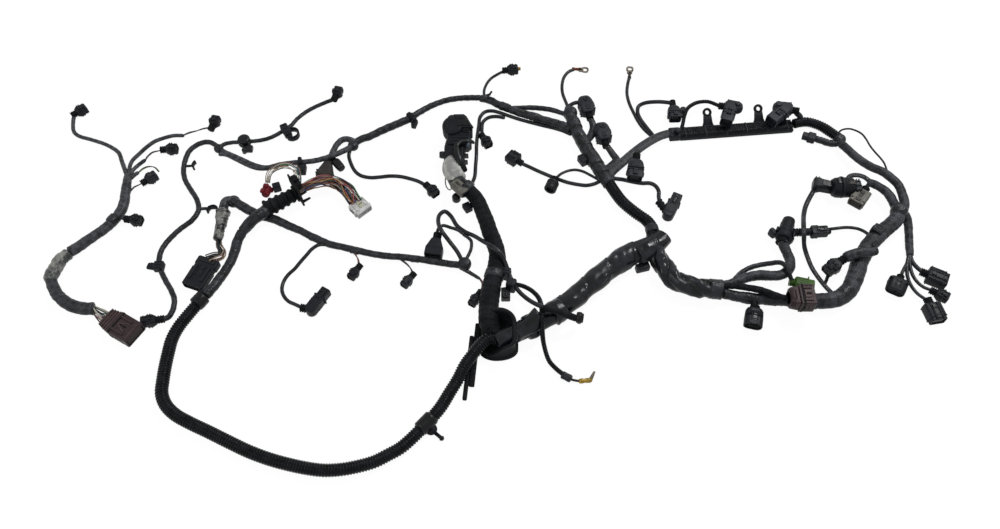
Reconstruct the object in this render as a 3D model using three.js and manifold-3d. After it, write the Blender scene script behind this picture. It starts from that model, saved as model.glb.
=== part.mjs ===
// The wiring harness of a vehicle's engine bay, spread out on a flat table.
// Lengths are in millimetres, +Z is up and the table is z = 0. The view from the front looks along +Y.
// Taped looms and corrugated conduits branch out to moulded connectors, each its own solid.
// A piece that touches another keeps CLEARANCE to it: it is cut by a slightly grown copy of that piece.

import * as THREE from "three";
import { mergeVertices } from "three/addons/utils/BufferGeometryUtils.js";
import Module from "manifold-3d";

const wasm = await Module();
wasm.setup();

// Driving dimensions: fits and facets
const CLEARANCE = 0.3;
const SEAT = 4; // how far a lead reaches into its connector
const TUBE_SIDES = 8;
const STEP_IN_DIAMETERS = 3;
const SHORTEST_STEP = 19;
const LONGEST_STEP = 36;
const ROUND_SIDES = 10;
const PLUG_BOOT_SIDES = 8;

// Driving dimensions: outer diameters of looms, sleeves and leads
const LEFT_TRUNK_D = 15.5;
const CAM_LEAD_D = 6.5;
const SLEEVED_LEAD_D = 6;
const WIRE_PAIR_D = 3.5;
const GREY_SLEEVE_D = 20;
const TAIL_SLEEVE_D = 17;
const TAIL_WIRES_D = 14;
const SENSOR_CABLE_D = 8;
const BRANCH_CABLE_D = 6.5;
const UPPER_LOOM_D = 9;
const UPPER_STRAND_D = 6.5;
const UPPER_THICK_D = 12.5;
const UPPER_THIN_D = 9.5;
const CROSS_LOOM_D = 13;
const PARALLEL_LEAD_D = 8.5;
const LOWER_TWIN_D = 6;
const AMBER_LEAD_D = 4.8;
const TAPED_LOOP_D = 10;
const ECU_LOOM_D = 25;
const CONDUIT_D = 17.5;
const DASH_LOW_D = 14;
const DASH_HIGH_D = 17;
const BUNDLE_THIN_D = 14;
const BUNDLE_THICK_D = 20;
const COLOUR_LOOP_D = 4;
const INJECTOR_THICK_D = 14;
const INJECTOR_MIDDLE_D = 11;
const INJECTOR_THIN_D = 10;
const LEG_D = 13;
const LEG_WIRES_D = 10;
const LOOP_LEAD_D = 6.5;
const LOOP_TUBE_D = 10;
const BOOT_LEAD_D = 5;
const GROUND_LEAD_D = 7;
const BARE_WIRE_D = 3.5;
const FOIL_TRUNK_D = 32;
const TWIST_D = 27;
const UP_BRANCH_D = 15;
const ARC_LEAD_D = 6;
const LOW_BRANCH_D = 9;
const RIGHT_TRUNK_D = 22;
const RIGHT_FEED_D = 16;
const OUTER_LOOM_D = 13;
const INNER_LOOM_D = 13.5;
const FLAT_LEAD_D = 8;
const HOOP_WIRE_D = 3;
const TWIN_LEAD_D = 7.5;
const SENSOR_LEAD_D = 5;
const DOWN_LOOM_D = 12;
const END_LEAD_D = 6.5;
const RIGHT_CONDUIT_D = 16;
const COIL_LEAD_D = 6.5;
const RIBBON_LEAD_D = 9;
const RING_LEAD_D = 5.5;
const RIBBON_D = 12;
const CENTRE_TRUNK_D = 21;
const CENTRE_CONDUIT_D = 18;
const SQUARE_LEAD_D = 6;
const ROUND_LEAD_D = 4.5;
const LABEL_SLEEVE_D = 28;
const STUB_SLEEVE_D = 11;

// Driving dimensions: connectors, as length, width and height of the housing
const SMALL_PLUG = { length: 26, width: 16, height: 14, boot: 9, wall: 2 };
const COIL_PLUG = { length: 38, width: 21, height: 18, boot: 11, wall: 2.2 };
const MIDDLE_PLUG = { ...COIL_PLUG, length: 48, width: 25, height: 20 };
const RAIL_KNOB = { diameter: 12, height: 9, place: 16 };
const END_PLUG = { length: 36, width: 20, height: 16, boot: 12, wall: 2.2 };
const BROWN_PLUG = { length: 36, width: 34, height: 18, collar: 18, wall: 2.5 };
const GREEN_PLUG = { length: 34, width: 20, height: 16, boot: 8, wall: 2.5 };
const WHITE_PLUG = { length: 24, width: 27, height: 12, wall: 2 };
const FLAT_PLUG = { length: 36, width: 32, height: 14, block: 14, wall: 2 };
const ECU_PLUG = { length: 78, width: 38, height: 28, bulge: 27, pitch: 14 };
const ELBOW_PLUG = { boot: 15, length: 36, width: 17, height: 16, wall: 2.2 };
const CORNER_PLUG = { ...ELBOW_PLUG, boot: 26, length: 38 };
const SQUARE_PLUG = { length: 20, width: 24, height: 14, boot: 8, wall: 2 };
const ROUND_PLUG = { length: 24, diameter: 19, mouth: 11, depth: 12 };
const RIBBED_PLUG = { length: 38, diameter: 27, ribs: 4, block: 30, width: 24, height: 19 };
const RIGHT_BROWN_PLUG = { ...BROWN_PLUG, length: 21, width: 32, height: 24, collar: 13 };
const BOOT_PLUG = { boot: 16, bootD: 12, flare: 18, nose: 6, width: 26, height: 16, wall: 2 };
const LOW_PLUG = { boot: 8, length: 24, width: 24, height: 18, wall: 2 };
const OVAL_PLUG = { boot: 8, length: 24, width: 20, height: 16, way: 16, wall: 3 };
const SENSOR = { bootD: 18, boot: 8, canD: 26, canLength: 34, lipD: 20, clamp: 4 };
const SENSOR_NECK = { diameter: 12, length: 34, plugLength: 26, plugWidth: 15, turn: -68 };
const MOUTH_DEPTH = 9;
const MOUTH_GAP = 2;
const LATCH_WIDTH = 6;
const LATCH_HEIGHT = 2.5;

// Driving dimensions: rail, terminals, grommets and clips
const RAIL_LENGTH = 201;
const RAIL_WIDTH = 19;
const RAIL_HEIGHT = 13;
const RAIL_RIB = 2;
const RAIL_RIB_PITCH = 20;
const TAB_PLACES = [66, 149];
const TAB_WIDTH = 16;
const TAB_LENGTH = 38;
const TAB_THICKNESS = 3;
const TAB_HOLE_D = 6.5;
const TAB_LEAN = 32;
const RING_D = 13;
const RING_HOLE_D = 6.4;
const RING_THICKNESS = 2;
const CRIMP_D = 6;
const CRIMP_LENGTH = 12;
const SHELL = { length: 56, width: 76, height: 38, brim: 8, brimHeight: 9, x: 20, y: -166 };
const FIN = { length: 8, width: 95, height: 6.5, back: 22, step: 20 };
const BOOT_LENGTH = 48;
const BOOT_RIBS = 5;
const BOOT_RIB_WIDTH = 6;
const BOOT_THICK_D = 30;
const BOOT_THIN_D = 22;
const FLANGE_WIDTH = 34;
const FLANGE_HEIGHT = 44;
const FLANGE_THICKNESS = 3;
const CLIP_THICKNESS = 2.5;

// Places of the pieces that no loom end carries: x, y, height, heading and, for some, pitch
const CONTROL_PLACE = [-38, 131, 1, 91];
const ARM_PLUG_PLACE = [523, -42, 12, 212, -14];
const RIBBED_PLUG_PLACE = [500, 84, 0, 2];
const RAIL_PLACE = [295, 197, 0, 5.4];
const RIBBED_BOOT_PLACE = [-318, 46, 2, 33, 3];

// Routes: each point is [x, y] on the table, or [x, y, lift] where the underside stands off it
const LEFT_TRUNK = [
  [-544, 113], [-543, 98], [-541, 81], [-539, 64], [-540, 49], [-544, 37], [-551, 24], [-560, 12],
  [-577, -5], [-589, -18], [-599, -26],
];
const CAM_LEAD = [
  [-544, 110, 4], [-553, 127, 2], [-563, 146], [-571, 162], [-583, 172], [-599, 181], [-623, 190],
  [-643, 197], [-653, 206], [-659, 224], [-660, 239, 3],
];
const LEAD_TWO = [
  [-542, 110, 4], [-547, 131, 2], [-547, 147], [-539, 161], [-530, 175], [-520, 186], [-507, 193],
  [-492, 198], [-476, 198],
];
const WIRE_TWO = [
  [-477, 198, 2], [-470, 205], [-459, 209], [-450, 213], [-440, 213, 2], [-433, 211, 4],
];
const LEAD_THREE = [
  [-541, 108, 4], [-541, 126, 2], [-536, 138], [-527, 149],
];
const WIRE_THREE = [
  [-527, 147, 2], [-525, 158], [-520, 165], [-512, 166, 2], [-501, 166, 5],
];
const LEAD_FOUR = [
  [-540, 108, 4], [-536, 118, 2], [-531, 123, 2],
];
const WIRE_FOUR_UP = [
  [-531, 123, 3], [-526, 129, 4], [-517, 132, 6], [-507, 130, 7], [-499, 122, 6],
];
const WIRE_FOUR_LOW = [
  [-536, 80, 5], [-533, 95, 2], [-526, 100, 2], [-518, 102, 5],
];
const STUB_FIVE = [
  [-540, 37, 4], [-533, 35, 3], [-527, 33, 4],
];
const GREY_SLEEVE = [
  [-597, -28], [-605, -38], [-609, -51], [-612, -66], [-611, -76],
];
const TAIL_SLEEVE = [
  [-612, -73], [-604, -87], [-594, -100], [-581, -110], [-566, -117], [-552, -120], [-539, -120],
];
const TAIL_WIRES = [
  [-541, -119], [-530, -127], [-515, -137],
];
const SENSOR_CABLE = [
  [-443, -136, 2], [-435, -131], [-431, -120], [-432, -103], [-440, -87], [-451, -71], [-461, -54],
  [-467, -37], [-467, -20], [-460, -2], [-448, 16], [-432, 34], [-426, 52], [-432, 71], [-444, 89],
  [-457, 109], [-463, 128], [-464, 148], [-460, 168], [-447, 181], [-435, 184], [-425, 180],
  [-416, 172],
];
const BRANCH_CABLE = [
  [-415, 171, 2], [-409, 180], [-400, 183], [-384, 183, 2], [-367, 186], [-353, 188], [-341, 192],
  [-331, 198], [-320, 207], [-308, 219], [-300, 233], [-289, 246], [-276, 257], [-260, 267],
  [-243, 274, 2],
];
const UPPER_A = [
  [-415, 169], [-399, 160], [-379, 150], [-359, 139], [-336, 132], [-315, 138], [-300, 141],
  [-284, 143], [-268, 143, 2], [-253, 145, 4], [-236, 146, 10], [-222, 154, 10], [-211, 165, 6],
  [-203, 177, 2],
];
const UPPER_B = [
  [-205, 176], [-194, 187], [-179, 194], [-164, 204], [-149, 213], [-133, 222], [-118, 231],
];
const UPPER_C = [
  [-118, 231, 2], [-103, 246], [-87, 258], [-71, 267], [-55, 273], [-38, 276], [-22, 277],
  [-4, 275, 2],
];
const CROSS = [
  [-6, 275], [11, 269], [27, 257, 2], [43, 249, 2], [59, 241, 2], [75, 235, 2], [91, 228, 2],
  [107, 222, 2], [123, 216, 2], [140, 205, 2],
];
const PARALLEL = [
  [46, 251, 5], [59, 253, 3], [76, 254, 2], [92, 253, 2], [108, 250, 2], [124, 243, 3], [141, 232, 5],
];
const LOWER_TWIN_A = [
  [140, 196, 5], [123, 210], [99, 218], [75, 226], [56, 233], [40, 240], [27, 246], [14, 250],
  [3, 248], [-5, 237], [-7, 216, 2], [-9, 195, 3], [-10, 175, 3], [-10, 155, 2], [-11, 136],
  [-12, 116], [-17, 98, 3], [-21, 86, 8],
];
const LOWER_TWIN_B = [
  [35, 235], [22, 238], [9, 236], [0, 227], [-2, 210, 2], [-1, 193, 3],
];
const AMBER_LEAD = [
  [1, 277, 4], [1, 294, 2], [5, 310], [12, 322], [22, 329, 2], [35, 336, 4],
];
const TAPED_LOOP = [
  [-200, 180, 2], [-210, 186, 2], [-220, 189], [-228, 182], [-233, 171], [-236, 159], [-241, 143],
];
const MID_LEAD = [
  [-207, 171, 4], [-210, 159], [-205, 141], [-197, 126], [-188, 118], [-173, 114], [-158, 115],
  [-143, 117], [-127, 116], [-112, 112], [-99, 107], [-84, 95, 3],
];
const ECU_TRUNK = [
  [-29, 83, 10], [-18, 75, 6], [-7, 63, 2], [0, 46], [6, 28], [11, 10], [17, -8], [22, -25], [23, -42],
  [21, -61], [17, -77], [14, -95, 2], [12, -113, 6], [11, -133, 10], [11, -154, 14],
];
const CONDUIT = [
  [23, -175, 15], [12, -175, 15], [3, -181, 14], [-5, -190, 11], [-13, -200, 8], [-21, -213, 7],
  [-29, -229, 3], [-39, -246], [-51, -268], [-64, -285], [-76, -299], [-88, -312], [-100, -323],
  [-115, -332], [-132, -341], [-152, -347], [-173, -351], [-195, -352], [-218, -349], [-241, -344],
  [-266, -337], [-293, -327], [-321, -314], [-348, -301], [-374, -289], [-396, -277], [-411, -263],
  [-419, -247], [-421, -229], [-422, -210], [-422, -189], [-421, -168], [-416, -150], [-407, -132],
  [-398, -116], [-388, -101],
];
const DASH_LOW = [
  [-387, -101, 3], [-380, -88, 2], [-374, -72], [-367, -57], [-361, -39], [-358, -23, 2],
  [-355, -7, 5], [-349, 5, 10],
];
const DASH_UP = [
  [-350, 4, 8], [-342, 12, 13], [-331, 22, 17], [-323, 35, 13], [-316, 47, 8],
];
const BUNDLE = [
  [-278, 73, 14], [-263, 83, 14], [-253, 90, 12], [-242, 96, 9], [-230, 98, 6], [-218, 95, 4],
  [-207, 86, 3], [-197, 73, 2], [-188, 60],
];
const COLOUR_LOOP = [
  [-326, 95, 10], [-325, 107, 14], [-320, 116, 15], [-311, 121, 17], [-300, 122, 19],
  [-290, 117, 21], [-282, 109, 22], [-277, 95, 22], [-275, 80, 22],
];
const INJECTOR = [
  [-377, 67, 2], [-363, 58, 2], [-348, 49], [-328, 40], [-308, 33], [-287, 22], [-268, 13], [-253, 4],
  [-237, -4], [-222, -11], [-207, -15], [-192, -19], [-177, -23], [-162, -27], [-147, -30],
  [-133, -32], [-118, -33], [-103, -35], [-89, -37], [-74, -40], [-52, -44], [-31, -47], [-16, -49],
];
const CORNER = [
  [-371, 63], [-379, 68], [-386, 66], [-388, 56], [-387, 44],
];
const LEG = [
  [-386, 47, 2], [-386, 28], [-386, 10], [-386, -5],
];
const LEG_WIRES = [
  [-386, -3], [-383, -15, 2], [-377, -24, 3], [-377, -33, 4], [-386, -37, 5], [-393, -42, 6],
];
const ELBOW_LEAD = [
  [-227, -12, 4], [-238, -11, 2], [-248, -17], [-255, -28], [-262, -39], [-269, -51], [-277, -61],
  [-282, -72], [-283, -85], [-279, -96], [-271, -105], [-261, -110], [-247, -119, 4],
];
const INJ_WIRE1 = [
  [-193, -19, 4], [-185, -25, 2], [-179, -35, 2], [-176, -50, 5],
];
const INJ_WIRE2 = [
  [-118, -36, 4], [-108, -43, 2], [-101, -52, 2], [-98, -64, 5],
];
const INJ_LEAD3 = [
  [-31, -50, 3], [-16, -58], [-2, -68],
];
const INJ_WIRE3 = [
  [-2, -68, 2], [2, -75, 2], [1, -85, 3], [-2, -94, 5],
];
const LOOP_LEAD = [
  [-26, -47, 9], [-35, -26, 6], [-47, -10, 10], [-58, 3, 17], [-64, 22, 11], [-63, 42, 3], [-56, 50],
  [-47, 42], [-37, 24], [-25, 12, 2], [-11, 1, 7], [2, -16, 19], [14, -30, 28], [26, -41, 28],
  [34, -52, 19], [39, -65, 13], [44, -78, 11], [52, -95, 14], [64, -115, 25], [76, -130, 36],
  [88, -138, 40],
];
const THICK_TUBE = [
  [85, -137, 38], [93, -140, 38], [103, -141, 35], [117, -143, 28], [132, -144, 19],
];
const BOOT_LEAD = [
  [-65, 2, 6], [-64, 15, 6], [-57, 22, 4], [-47, 20, 2], [-35, 15, 2], [-25, 6, 2], [-16, -3, 2],
  [-15, -16, 2], [-20, -33, 4], [-25, -44, 4],
];
const GROUND_LEAD = [
  [45, -84, 12], [58, -87, 12], [70, -95, 14], [79, -106, 16], [83, -122, 24], [84, -140, 32],
  [84, -154, 35], [84, -166, 28], [86, -177, 12], [93, -198, 2], [102, -209], [114, -221, 2],
];
const FOIL = [
  [45, -166, 6], [61, -158, 2], [79, -147], [96, -135], [113, -121], [132, -106], [151, -88],
  [169, -70], [187, -55], [205, -42], [225, -30], [243, -22, 1],
];
const TWIST = [
  [247, -20, 2], [254, -37, 2], [261, -55, 2], [271, -73, 2], [285, -84, 2], [301, -89, 2],
  [319, -92, 2], [339, -93],
];
const UP_BRANCH = [
  [340, -84, 6], [354, -81, 4], [370, -73, 2], [385, -68, 2], [401, -66, 2], [416, -67, 2],
  [431, -64, 2], [442, -54, 2], [445, -41, 2], [443, -29, 2], [440, -18, 4], [438, -10, 6],
];
const ARC = [
  [359, -76, 10], [374, -58], [387, -50], [403, -45], [416, -45, 4], [427, -50, 14], [434, -60, 18],
  [438, -70, 12], [442, -77, 5],
];
const LOW_BRANCH_A = [
  [340, -87, 10], [358, -88, 12], [375, -92, 14], [394, -98, 16], [411, -107, 18], [429, -114, 18],
];
const LOW_BRANCH_B = [
  [339, -97, 4], [357, -99], [378, -103], [403, -105], [431, -107], [452, -109], [472, -110],
];
const RIGHT_TRUNK = [
  [464, -109], [476, -109], [490, -108], [505, -103], [519, -91], [529, -76], [537, -60], [545, -43],
  [555, -28, 2], [568, -12, 3], [582, 1, 4], [598, 14, 5], [611, 26, 7], [618, 39, 9],
];
const OUTER = [
  [621, 35, 14], [626, 48, 18], [626, 65, 20], [623, 80, 22], [616, 96, 20], [607, 109, 18],
  [594, 119, 16], [584, 133, 12], [575, 147, 10], [567, 163, 8], [560, 179, 4],
];
const INNER = [
  [616, 37, 11], [614, 57, 11], [610, 72, 11], [602, 84, 10], [593, 93, 8], [585, 96, 7],
];
const FLAT_LEAD = [
  [589, 98, 11], [582, 107, 10], [573, 111, 9], [562, 109, 9], [557, 102, 9],
];
const HOOP_WIRE = [
  [562, 196, 10], [567, 199, 14], [577, 198, 18], [585, 193, 20], [592, 185, 22], [596, 172, 24],
  [599, 159, 24], [604, 146, 24], [608, 134, 26], [612, 123, 26], [613, 108, 26],
];
const TWIN_LEAD = [
  [509, 93, 8], [498, 77, 5], [488, 60, 2], [480, 41, 6], [470, 11, 20], [467, -8, 20], [470, -18, 6],
  [474, -34], [477, -51], [483, -67], [491, -83], [500, -100, 3],
];
const SENSOR_LEAD = [
  [505, 13, 6], [523, 18, 2], [540, 20, 2], [556, 18, 2], [564, 5, 10], [565, -11, 18], [563, -28, 22],
];
const DOWN = [
  [626, 37, 12], [630, 25, 6], [629, 9, 2], [626, -9], [622, -31],
];
const DOWN_OVAL = [
  [622, -28, 4], [616, -41, 2], [607, -54, 4], [597, -70, 6],
];
const DOWN_THREE = [
  [622, -28, 3], [623, -40, 2], [627, -51, 3], [633, -61, 5],
];
const RIGHT_CONDUIT = [
  [496, 218], [506, 221], [519, 222], [531, 218], [542, 211], [552, 198, 2], [563, 185, 3],
];
const COIL_LEAD1 = [
  [273, 190, 3], [261, 216], [253, 233], [250, 248], [253, 260], [263, 265, 2], [283, 265, 5],
  [306, 257, 11],
];
const COIL_LEAD2 = [
  [314, 203, 4], [318, 214, 9], [321, 226, 15], [326, 237, 19], [336, 248, 17], [348, 256, 14],
  [362, 257, 14], [373, 251, 15], [381, 243, 17],
];
const RING_LEAD2 = [
  [243, 326], [238, 305], [236, 287], [238, 267], [243, 248], [249, 229], [257, 212], [272, 190, 2],
];
const RIBBON = [
  [297, 199], [281, 193], [266, 184], [249, 171], [232, 155], [217, 140], [201, 122, 3], [191, 108, 4],
];
const CENTRE = [
  [139, 239], [143, 222], [148, 203], [155, 184], [163, 164], [171, 147], [178, 129], [186, 111],
  [194, 95],
];
const CENTRE_CONDUIT = [
  [194, 97], [202, 80], [211, 64], [222, 51], [233, 40], [244, 30], [250, 17, 2], [251, 2, 4],
  [246, -11, 6],
];
const RING_LEAD1 = [
  [140, 243, 5], [135, 268], [130, 289], [130, 308], [134, 325], [142, 337], [152, 343],
];
const SQUARE_LEAD = [
  [58, 141, 3], [74, 134], [89, 125], [104, 117], [116, 111], [130, 105], [145, 101], [160, 99],
  [174, 103], [186, 108, 5],
];
const ROUND_LEAD = [
  [110, 104, 8], [121, 118, 5], [134, 126, 3], [145, 128, 2], [155, 125, 2], [166, 118, 2],
  [179, 106, 5],
];
const RIGHT_LEAD = [
  [193, 113, 4], [204, 112], [216, 110], [230, 106], [245, 103], [257, 103], [265, 98], [269, 88],
  [268, 77], [268, 61, 4],
];
const UPPER_STRAND = [
  [-414, 160], [-403, 159], [-386, 150], [-367, 139], [-350, 132], [-333, 131],
];
const LABEL_SLEEVE = [
  [-36, 131, 4], [-39, 116, 6], [-40, 102, 8], [-35, 91, 9], [-28, 83, 9],
];
const LOW_STUB = [
  [381, -100, 4], [382, -112, 5], [382, -121, 6],
];
const ARM = [
  [566, -35, 20], [556, -37, 19], [543, -39, 20], [530, -41, 18], [519, -45, 15],
];
const ARM_STUB = [
  [500, -56, 3], [496, -66], [490, -77],
];
const GREY_STUB = [
  [589, 95, 8], [584, 90, 9], [579, 83, 10],
];
const END_LEAD_2 = [
  [622, -28, 3], [618, -48, 2], [619, -68, 2], [627, -83, 3], [639, -91, 5],
];
const END_LEAD_3 = [
  [621, -28, 3], [613, -50, 2], [610, -72, 2], [616, -92, 2], [628, -108, 5],
];
const SLEEVED_STUB = [
  [558, 176, 3], [545, 180, 1], [533, 186, 1], [524, 190, 1],
];
const HOOD_STUB = [
  [499, 233, 14], [507, 229, 9], [510, 221, 2],
];
const RIBBON_1 = [
  [171, 230, 5], [176, 215], [172, 197], [162, 180, 4],
];
const RIBBON_2 = [
  [193, 173, 5], [203, 158], [208, 146], [199, 134], [188, 122, 4],
];
const RIBBON_TOP = [
  [133, 249, 6], [141, 257, 6], [149, 260, 8], [158, 260, 9],
];
const RIBBON_3 = [
  [240, 167, 1], [241, 155, 7], [238, 143, 11],
];
const SIDE_BRANCH = [
  [165, 162, 3], [163, 146, 1], [168, 136, 1], [178, 130, 4],
];
const SENSOR_STUB = [
  [-427, 54, 1], [-418, 55, 1], [-410, 55, 1],
];
const BARE_WIRE = [
  [113, -221, 2], [124, -226, 2], [134, -228, 2],
];

// Geometry helpers

const radians = (degrees) => (degrees * Math.PI) / 180;

// Route points as 3-D points on the centreline of a tube of this diameter.
const centreline = (route, diameter) =>
  route.map(([x, y, lift = 0]) => new THREE.Vector3(x, y, lift + diameter / 2));

// A closed geometry as a solid that can be joined and cut.
function solidOf(geometry) {
  const bare = new THREE.BufferGeometry();
  bare.setAttribute("position", geometry.getAttribute("position"));
  bare.setIndex(geometry.getIndex());
  const merged = mergeVertices(bare, 1e-4);
  return new wasm.Manifold(
    new wasm.Mesh({
      numProp: 3,
      vertProperties: merged.getAttribute("position").array,
      triVerts: new Uint32Array(merged.getIndex().array),
    }),
  );
}

// A solid as a geometry, in the frame whose inverse matrix is given.
function geometryOf(solid, inverse) {
  const mesh = solid.getMesh();
  const geometry = new THREE.BufferGeometry();
  geometry.setAttribute("position", new THREE.BufferAttribute(mesh.vertProperties.slice(), 3));
  geometry.setIndex(new THREE.BufferAttribute(mesh.triVerts.slice(), 1));
  geometry.applyMatrix4(inverse);
  geometry.computeVertexNormals();
  return geometry;
}

const joined = (solids) => solids.reduce((whole, solid) => whole.add(solid));

// A frame at a place, turned to a heading in the table's plane and then pitched nose up.
function pose(x, y, z, heading, pitch = 0) {
  const turn = new THREE.Euler(0, -radians(pitch), radians(heading), "ZYX");
  return new THREE.Matrix4().makeRotationFromEuler(turn).setPosition(x, y, z);
}

// The frame of a connector at one point of a route: the lead reaches SEAT into its rear face.
function seatedAt([x, y], heading, lift, pitch) {
  const back = new THREE.Vector2(SEAT, 0).rotateAround(new THREE.Vector2(), radians(heading));
  return pose(x - back.x, y - back.y, lift, heading, pitch);
}
const atEnd = (route, heading, lift = 0, pitch = 0) =>
  seatedAt(route.at(-1), heading, lift, pitch);
const atStart = (route, heading, lift = 0, pitch = 0) =>
  seatedAt(route[0], heading, lift, pitch);

// Shapes in a frame, each grown by grow on every side. x is forward, z is up and z = 0 the underside.
function makerIn(frame, grow) {
  const place = (geometry, x, y, z) =>
    solidOf(geometry.applyMatrix4(new THREE.Matrix4().setPosition(x, y, z)).applyMatrix4(frame));
  const more = 2 * grow;
  return {
    // A block from x to x + length, centred on y, from z up to z + height
    block(length, width, height, x, y = 0, z = 0) {
      const geometry = new THREE.BoxGeometry(length + more, width + more, height + more);
      return place(geometry, x + length / 2, y, z + height / 2);
    },
    // A cylinder from x to x + length round the line through y, z
    rod(diameter, length, x, y, z, sides = ROUND_SIDES) {
      const radius = diameter / 2 + grow;
      const geometry = new THREE.CylinderGeometry(radius, radius, length + more, sides);
      return place(geometry.rotateZ(-Math.PI / 2), x + length / 2, y, z);
    },
    // A standing cylinder round x, y, from z up to z + height
    post(diameter, height, x, y = 0, z = 0, sides = ROUND_SIDES) {
      const radius = diameter / 2 + grow;
      const geometry = new THREE.CylinderGeometry(radius, radius, height + more, sides);
      return place(geometry.rotateX(Math.PI / 2), x, y, z + height / 2);
    },
    // A block whose width runs from one value at x to another at x + length
    wedge(length, width0, width1, height, x, y = 0, z = 0) {
      const outline = new THREE.Shape([
        new THREE.Vector2(-grow, -width0 / 2 - grow),
        new THREE.Vector2(length + grow, -width1 / 2 - grow),
        new THREE.Vector2(length + grow, width1 / 2 + grow),
        new THREE.Vector2(-grow, width0 / 2 + grow),
      ]);
      const geometry = new THREE.ExtrudeGeometry(outline, {
        depth: height + more,
        bevelEnabled: false,
      });
      return place(geometry, x, y, z - grow);
    },
    // A dome on z with an oval foot, by a turned profile stretched along y
    dome(length, width, height, x, y, z = 0) {
      const profile = [new THREE.Vector2(0, -grow), new THREE.Vector2(length / 2 + grow, -grow)];
      for (let i = 0; i <= 5; i += 1) {
        const a = (i * Math.PI) / 10;
        const reach = (length / 2 + grow) * Math.cos(a) ** 0.6;
        const rise = height * (0.45 + 0.55 * Math.sin(a)) + grow;
        profile.push(new THREE.Vector2(i === 5 ? 0 : reach, rise));
      }
      const geometry = new THREE.LatheGeometry(profile, ROUND_SIDES);
      geometry.rotateX(Math.PI / 2).scale(1, width / length, 1);
      return place(geometry, x, y, z);
    },
    // A tube along a route, in the harness's own frame
    tube(route, diameter) {
      const points = centreline(route, diameter);
      const [first, second] = points;
      const [beforeLast, last] = points.slice(-2);
      const firstWay = first.clone().sub(second).setLength(grow);
      const lastWay = last.clone().sub(beforeLast).setLength(grow);
      first.add(firstWay);
      last.add(lastWay);
      const curve = new THREE.CatmullRomCurve3(points, false, "centripetal");
      const wanted = Math.max(diameter * STEP_IN_DIAMETERS, SHORTEST_STEP);
      const stride = Math.min(wanted, LONGEST_STEP);
      const section = new THREE.Shape();
      for (let i = 0; i < TUBE_SIDES; i += 1) {
        const a = (2 * Math.PI * (i + 0.5)) / TUBE_SIDES;
        const corner = [Math.cos(a), Math.sin(a)].map((c) => c * (diameter / 2 + grow));
        if (i === 0) section.moveTo(...corner);
        else section.lineTo(...corner);
      }
      const steps = Math.max(2, Math.ceil(curve.getLength() / stride));
      return solidOf(new THREE.ExtrudeGeometry(section, { steps, extrudePath: curve }));
    },
    // The same shapes in a frame of their own on the table
    at: (x, y, z, heading, pitch = 0) =>
      makerIn(frame.clone().multiply(pose(x, y, z, heading, pitch)), grow),
  };
}

// Connectors: each recipe gives solids, the holes cut from them and the cores left in the holes

// A mating mouth in the nose: a groove of MOUTH_GAP round a core that carries the contacts
function mouth(make, nose, width, height, wall) {
  const wide = width - 2 * wall;
  const high = height - 2 * wall;
  return {
    holes: [make.block(MOUTH_DEPTH, wide, high, nose - MOUTH_DEPTH + 1, 0, wall)],
    cores: [
      make.block(
        MOUTH_DEPTH - 2,
        wide - 2 * MOUTH_GAP,
        high - 2 * MOUTH_GAP,
        nose - MOUTH_DEPTH - 1,
        0,
        wall + MOUTH_GAP,
      ),
    ],
  };
}

// A sealed plug: round cable boot, housing with a collar, and a latch on top
const sealedPlug =
  ({ length, width, height, boot, wall }) =>
  (make) => ({
    solids: [
      make.rod(0.85 * height, boot + 1, 0, 0, height / 2, PLUG_BOOT_SIDES),
      make.block(length - boot, width, height, boot),
      make.block(0.45 * length, LATCH_WIDTH, LATCH_HEIGHT + 1, 0.4 * length, 0, height - 1),
    ],
    ...mouth(make, length, width, height, wall),
  });

// The first rail plug, with a round knob beside its housing
const knobPlug = (size, knob) => (make) => {
  const plug = sealedPlug(size)(make);
  plug.solids.push(make.post(knob.diameter, knob.height, knob.place, knob.place));
  return plug;
};

// A wide two-row plug: wire collar behind, housing with a lock slot across its top
const widePlug =
  ({ length, width, height, collar, wall }) =>
  (make) => {
    const { holes, cores } = mouth(make, collar + length, width, height, wall);
    return {
      solids: [
        make.wedge(collar + 1, 0.72 * width, 0.9 * width, height - 3, 0, 0, 1),
        make.block(length, width, height, collar),
        make.block(length * 0.6, 4, 2 + 1, collar + 2, 0.28 * width, height - 1),
        make.block(length * 0.6, 4, 2 + 1, collar + 2, -0.28 * width, height - 1),
      ],
      holes: [...holes, make.block(2.5, 0.8 * width, 2.5, collar + 4, 0, height - 1.5)],
      cores,
    };
  };

// The plug with an open oval mouth at its nose
const greenPlug =
  ({ length, width, height, boot, wall }) =>
  (make) => ({
    solids: [
      make.rod(0.8 * height, boot + 1, 0, 0, height / 2),
      make.block(length - boot, width - 4, height, boot),
      make.block(length - boot - 8, width, height - 4, boot, 0, 2),
    ],
    holes: [make.block(14, width - 4 - 2 * wall, height - 2 * wall, length - 13, 0, wall)],
    cores: [],
  });

const whitePlug =
  ({ length, width, height, wall }) =>
  (make) => ({
    solids: [
      make.block(length, width, height, 0),
      make.block(4, width + 3, height - 2, length - 9, 0, 1),
    ],
    ...mouth(make, length, width, height, wall),
  });

const flatPlug =
  ({ length, width, height, block, wall }) =>
  (make) => {
    const { holes, cores } = mouth(make, block + length, width, height, wall);
    return {
      solids: [
        make.block(block + 1, width + 2, height - 1, 0),
        make.block(length, width, height, block),
        make.block(length * 0.7, 5, 3, block, 0.3 * width, height - 1),
        make.block(length * 0.7, 5, 3, block, -0.3 * width, height - 1),
      ],
      holes,
      cores,
    };
  };

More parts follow.
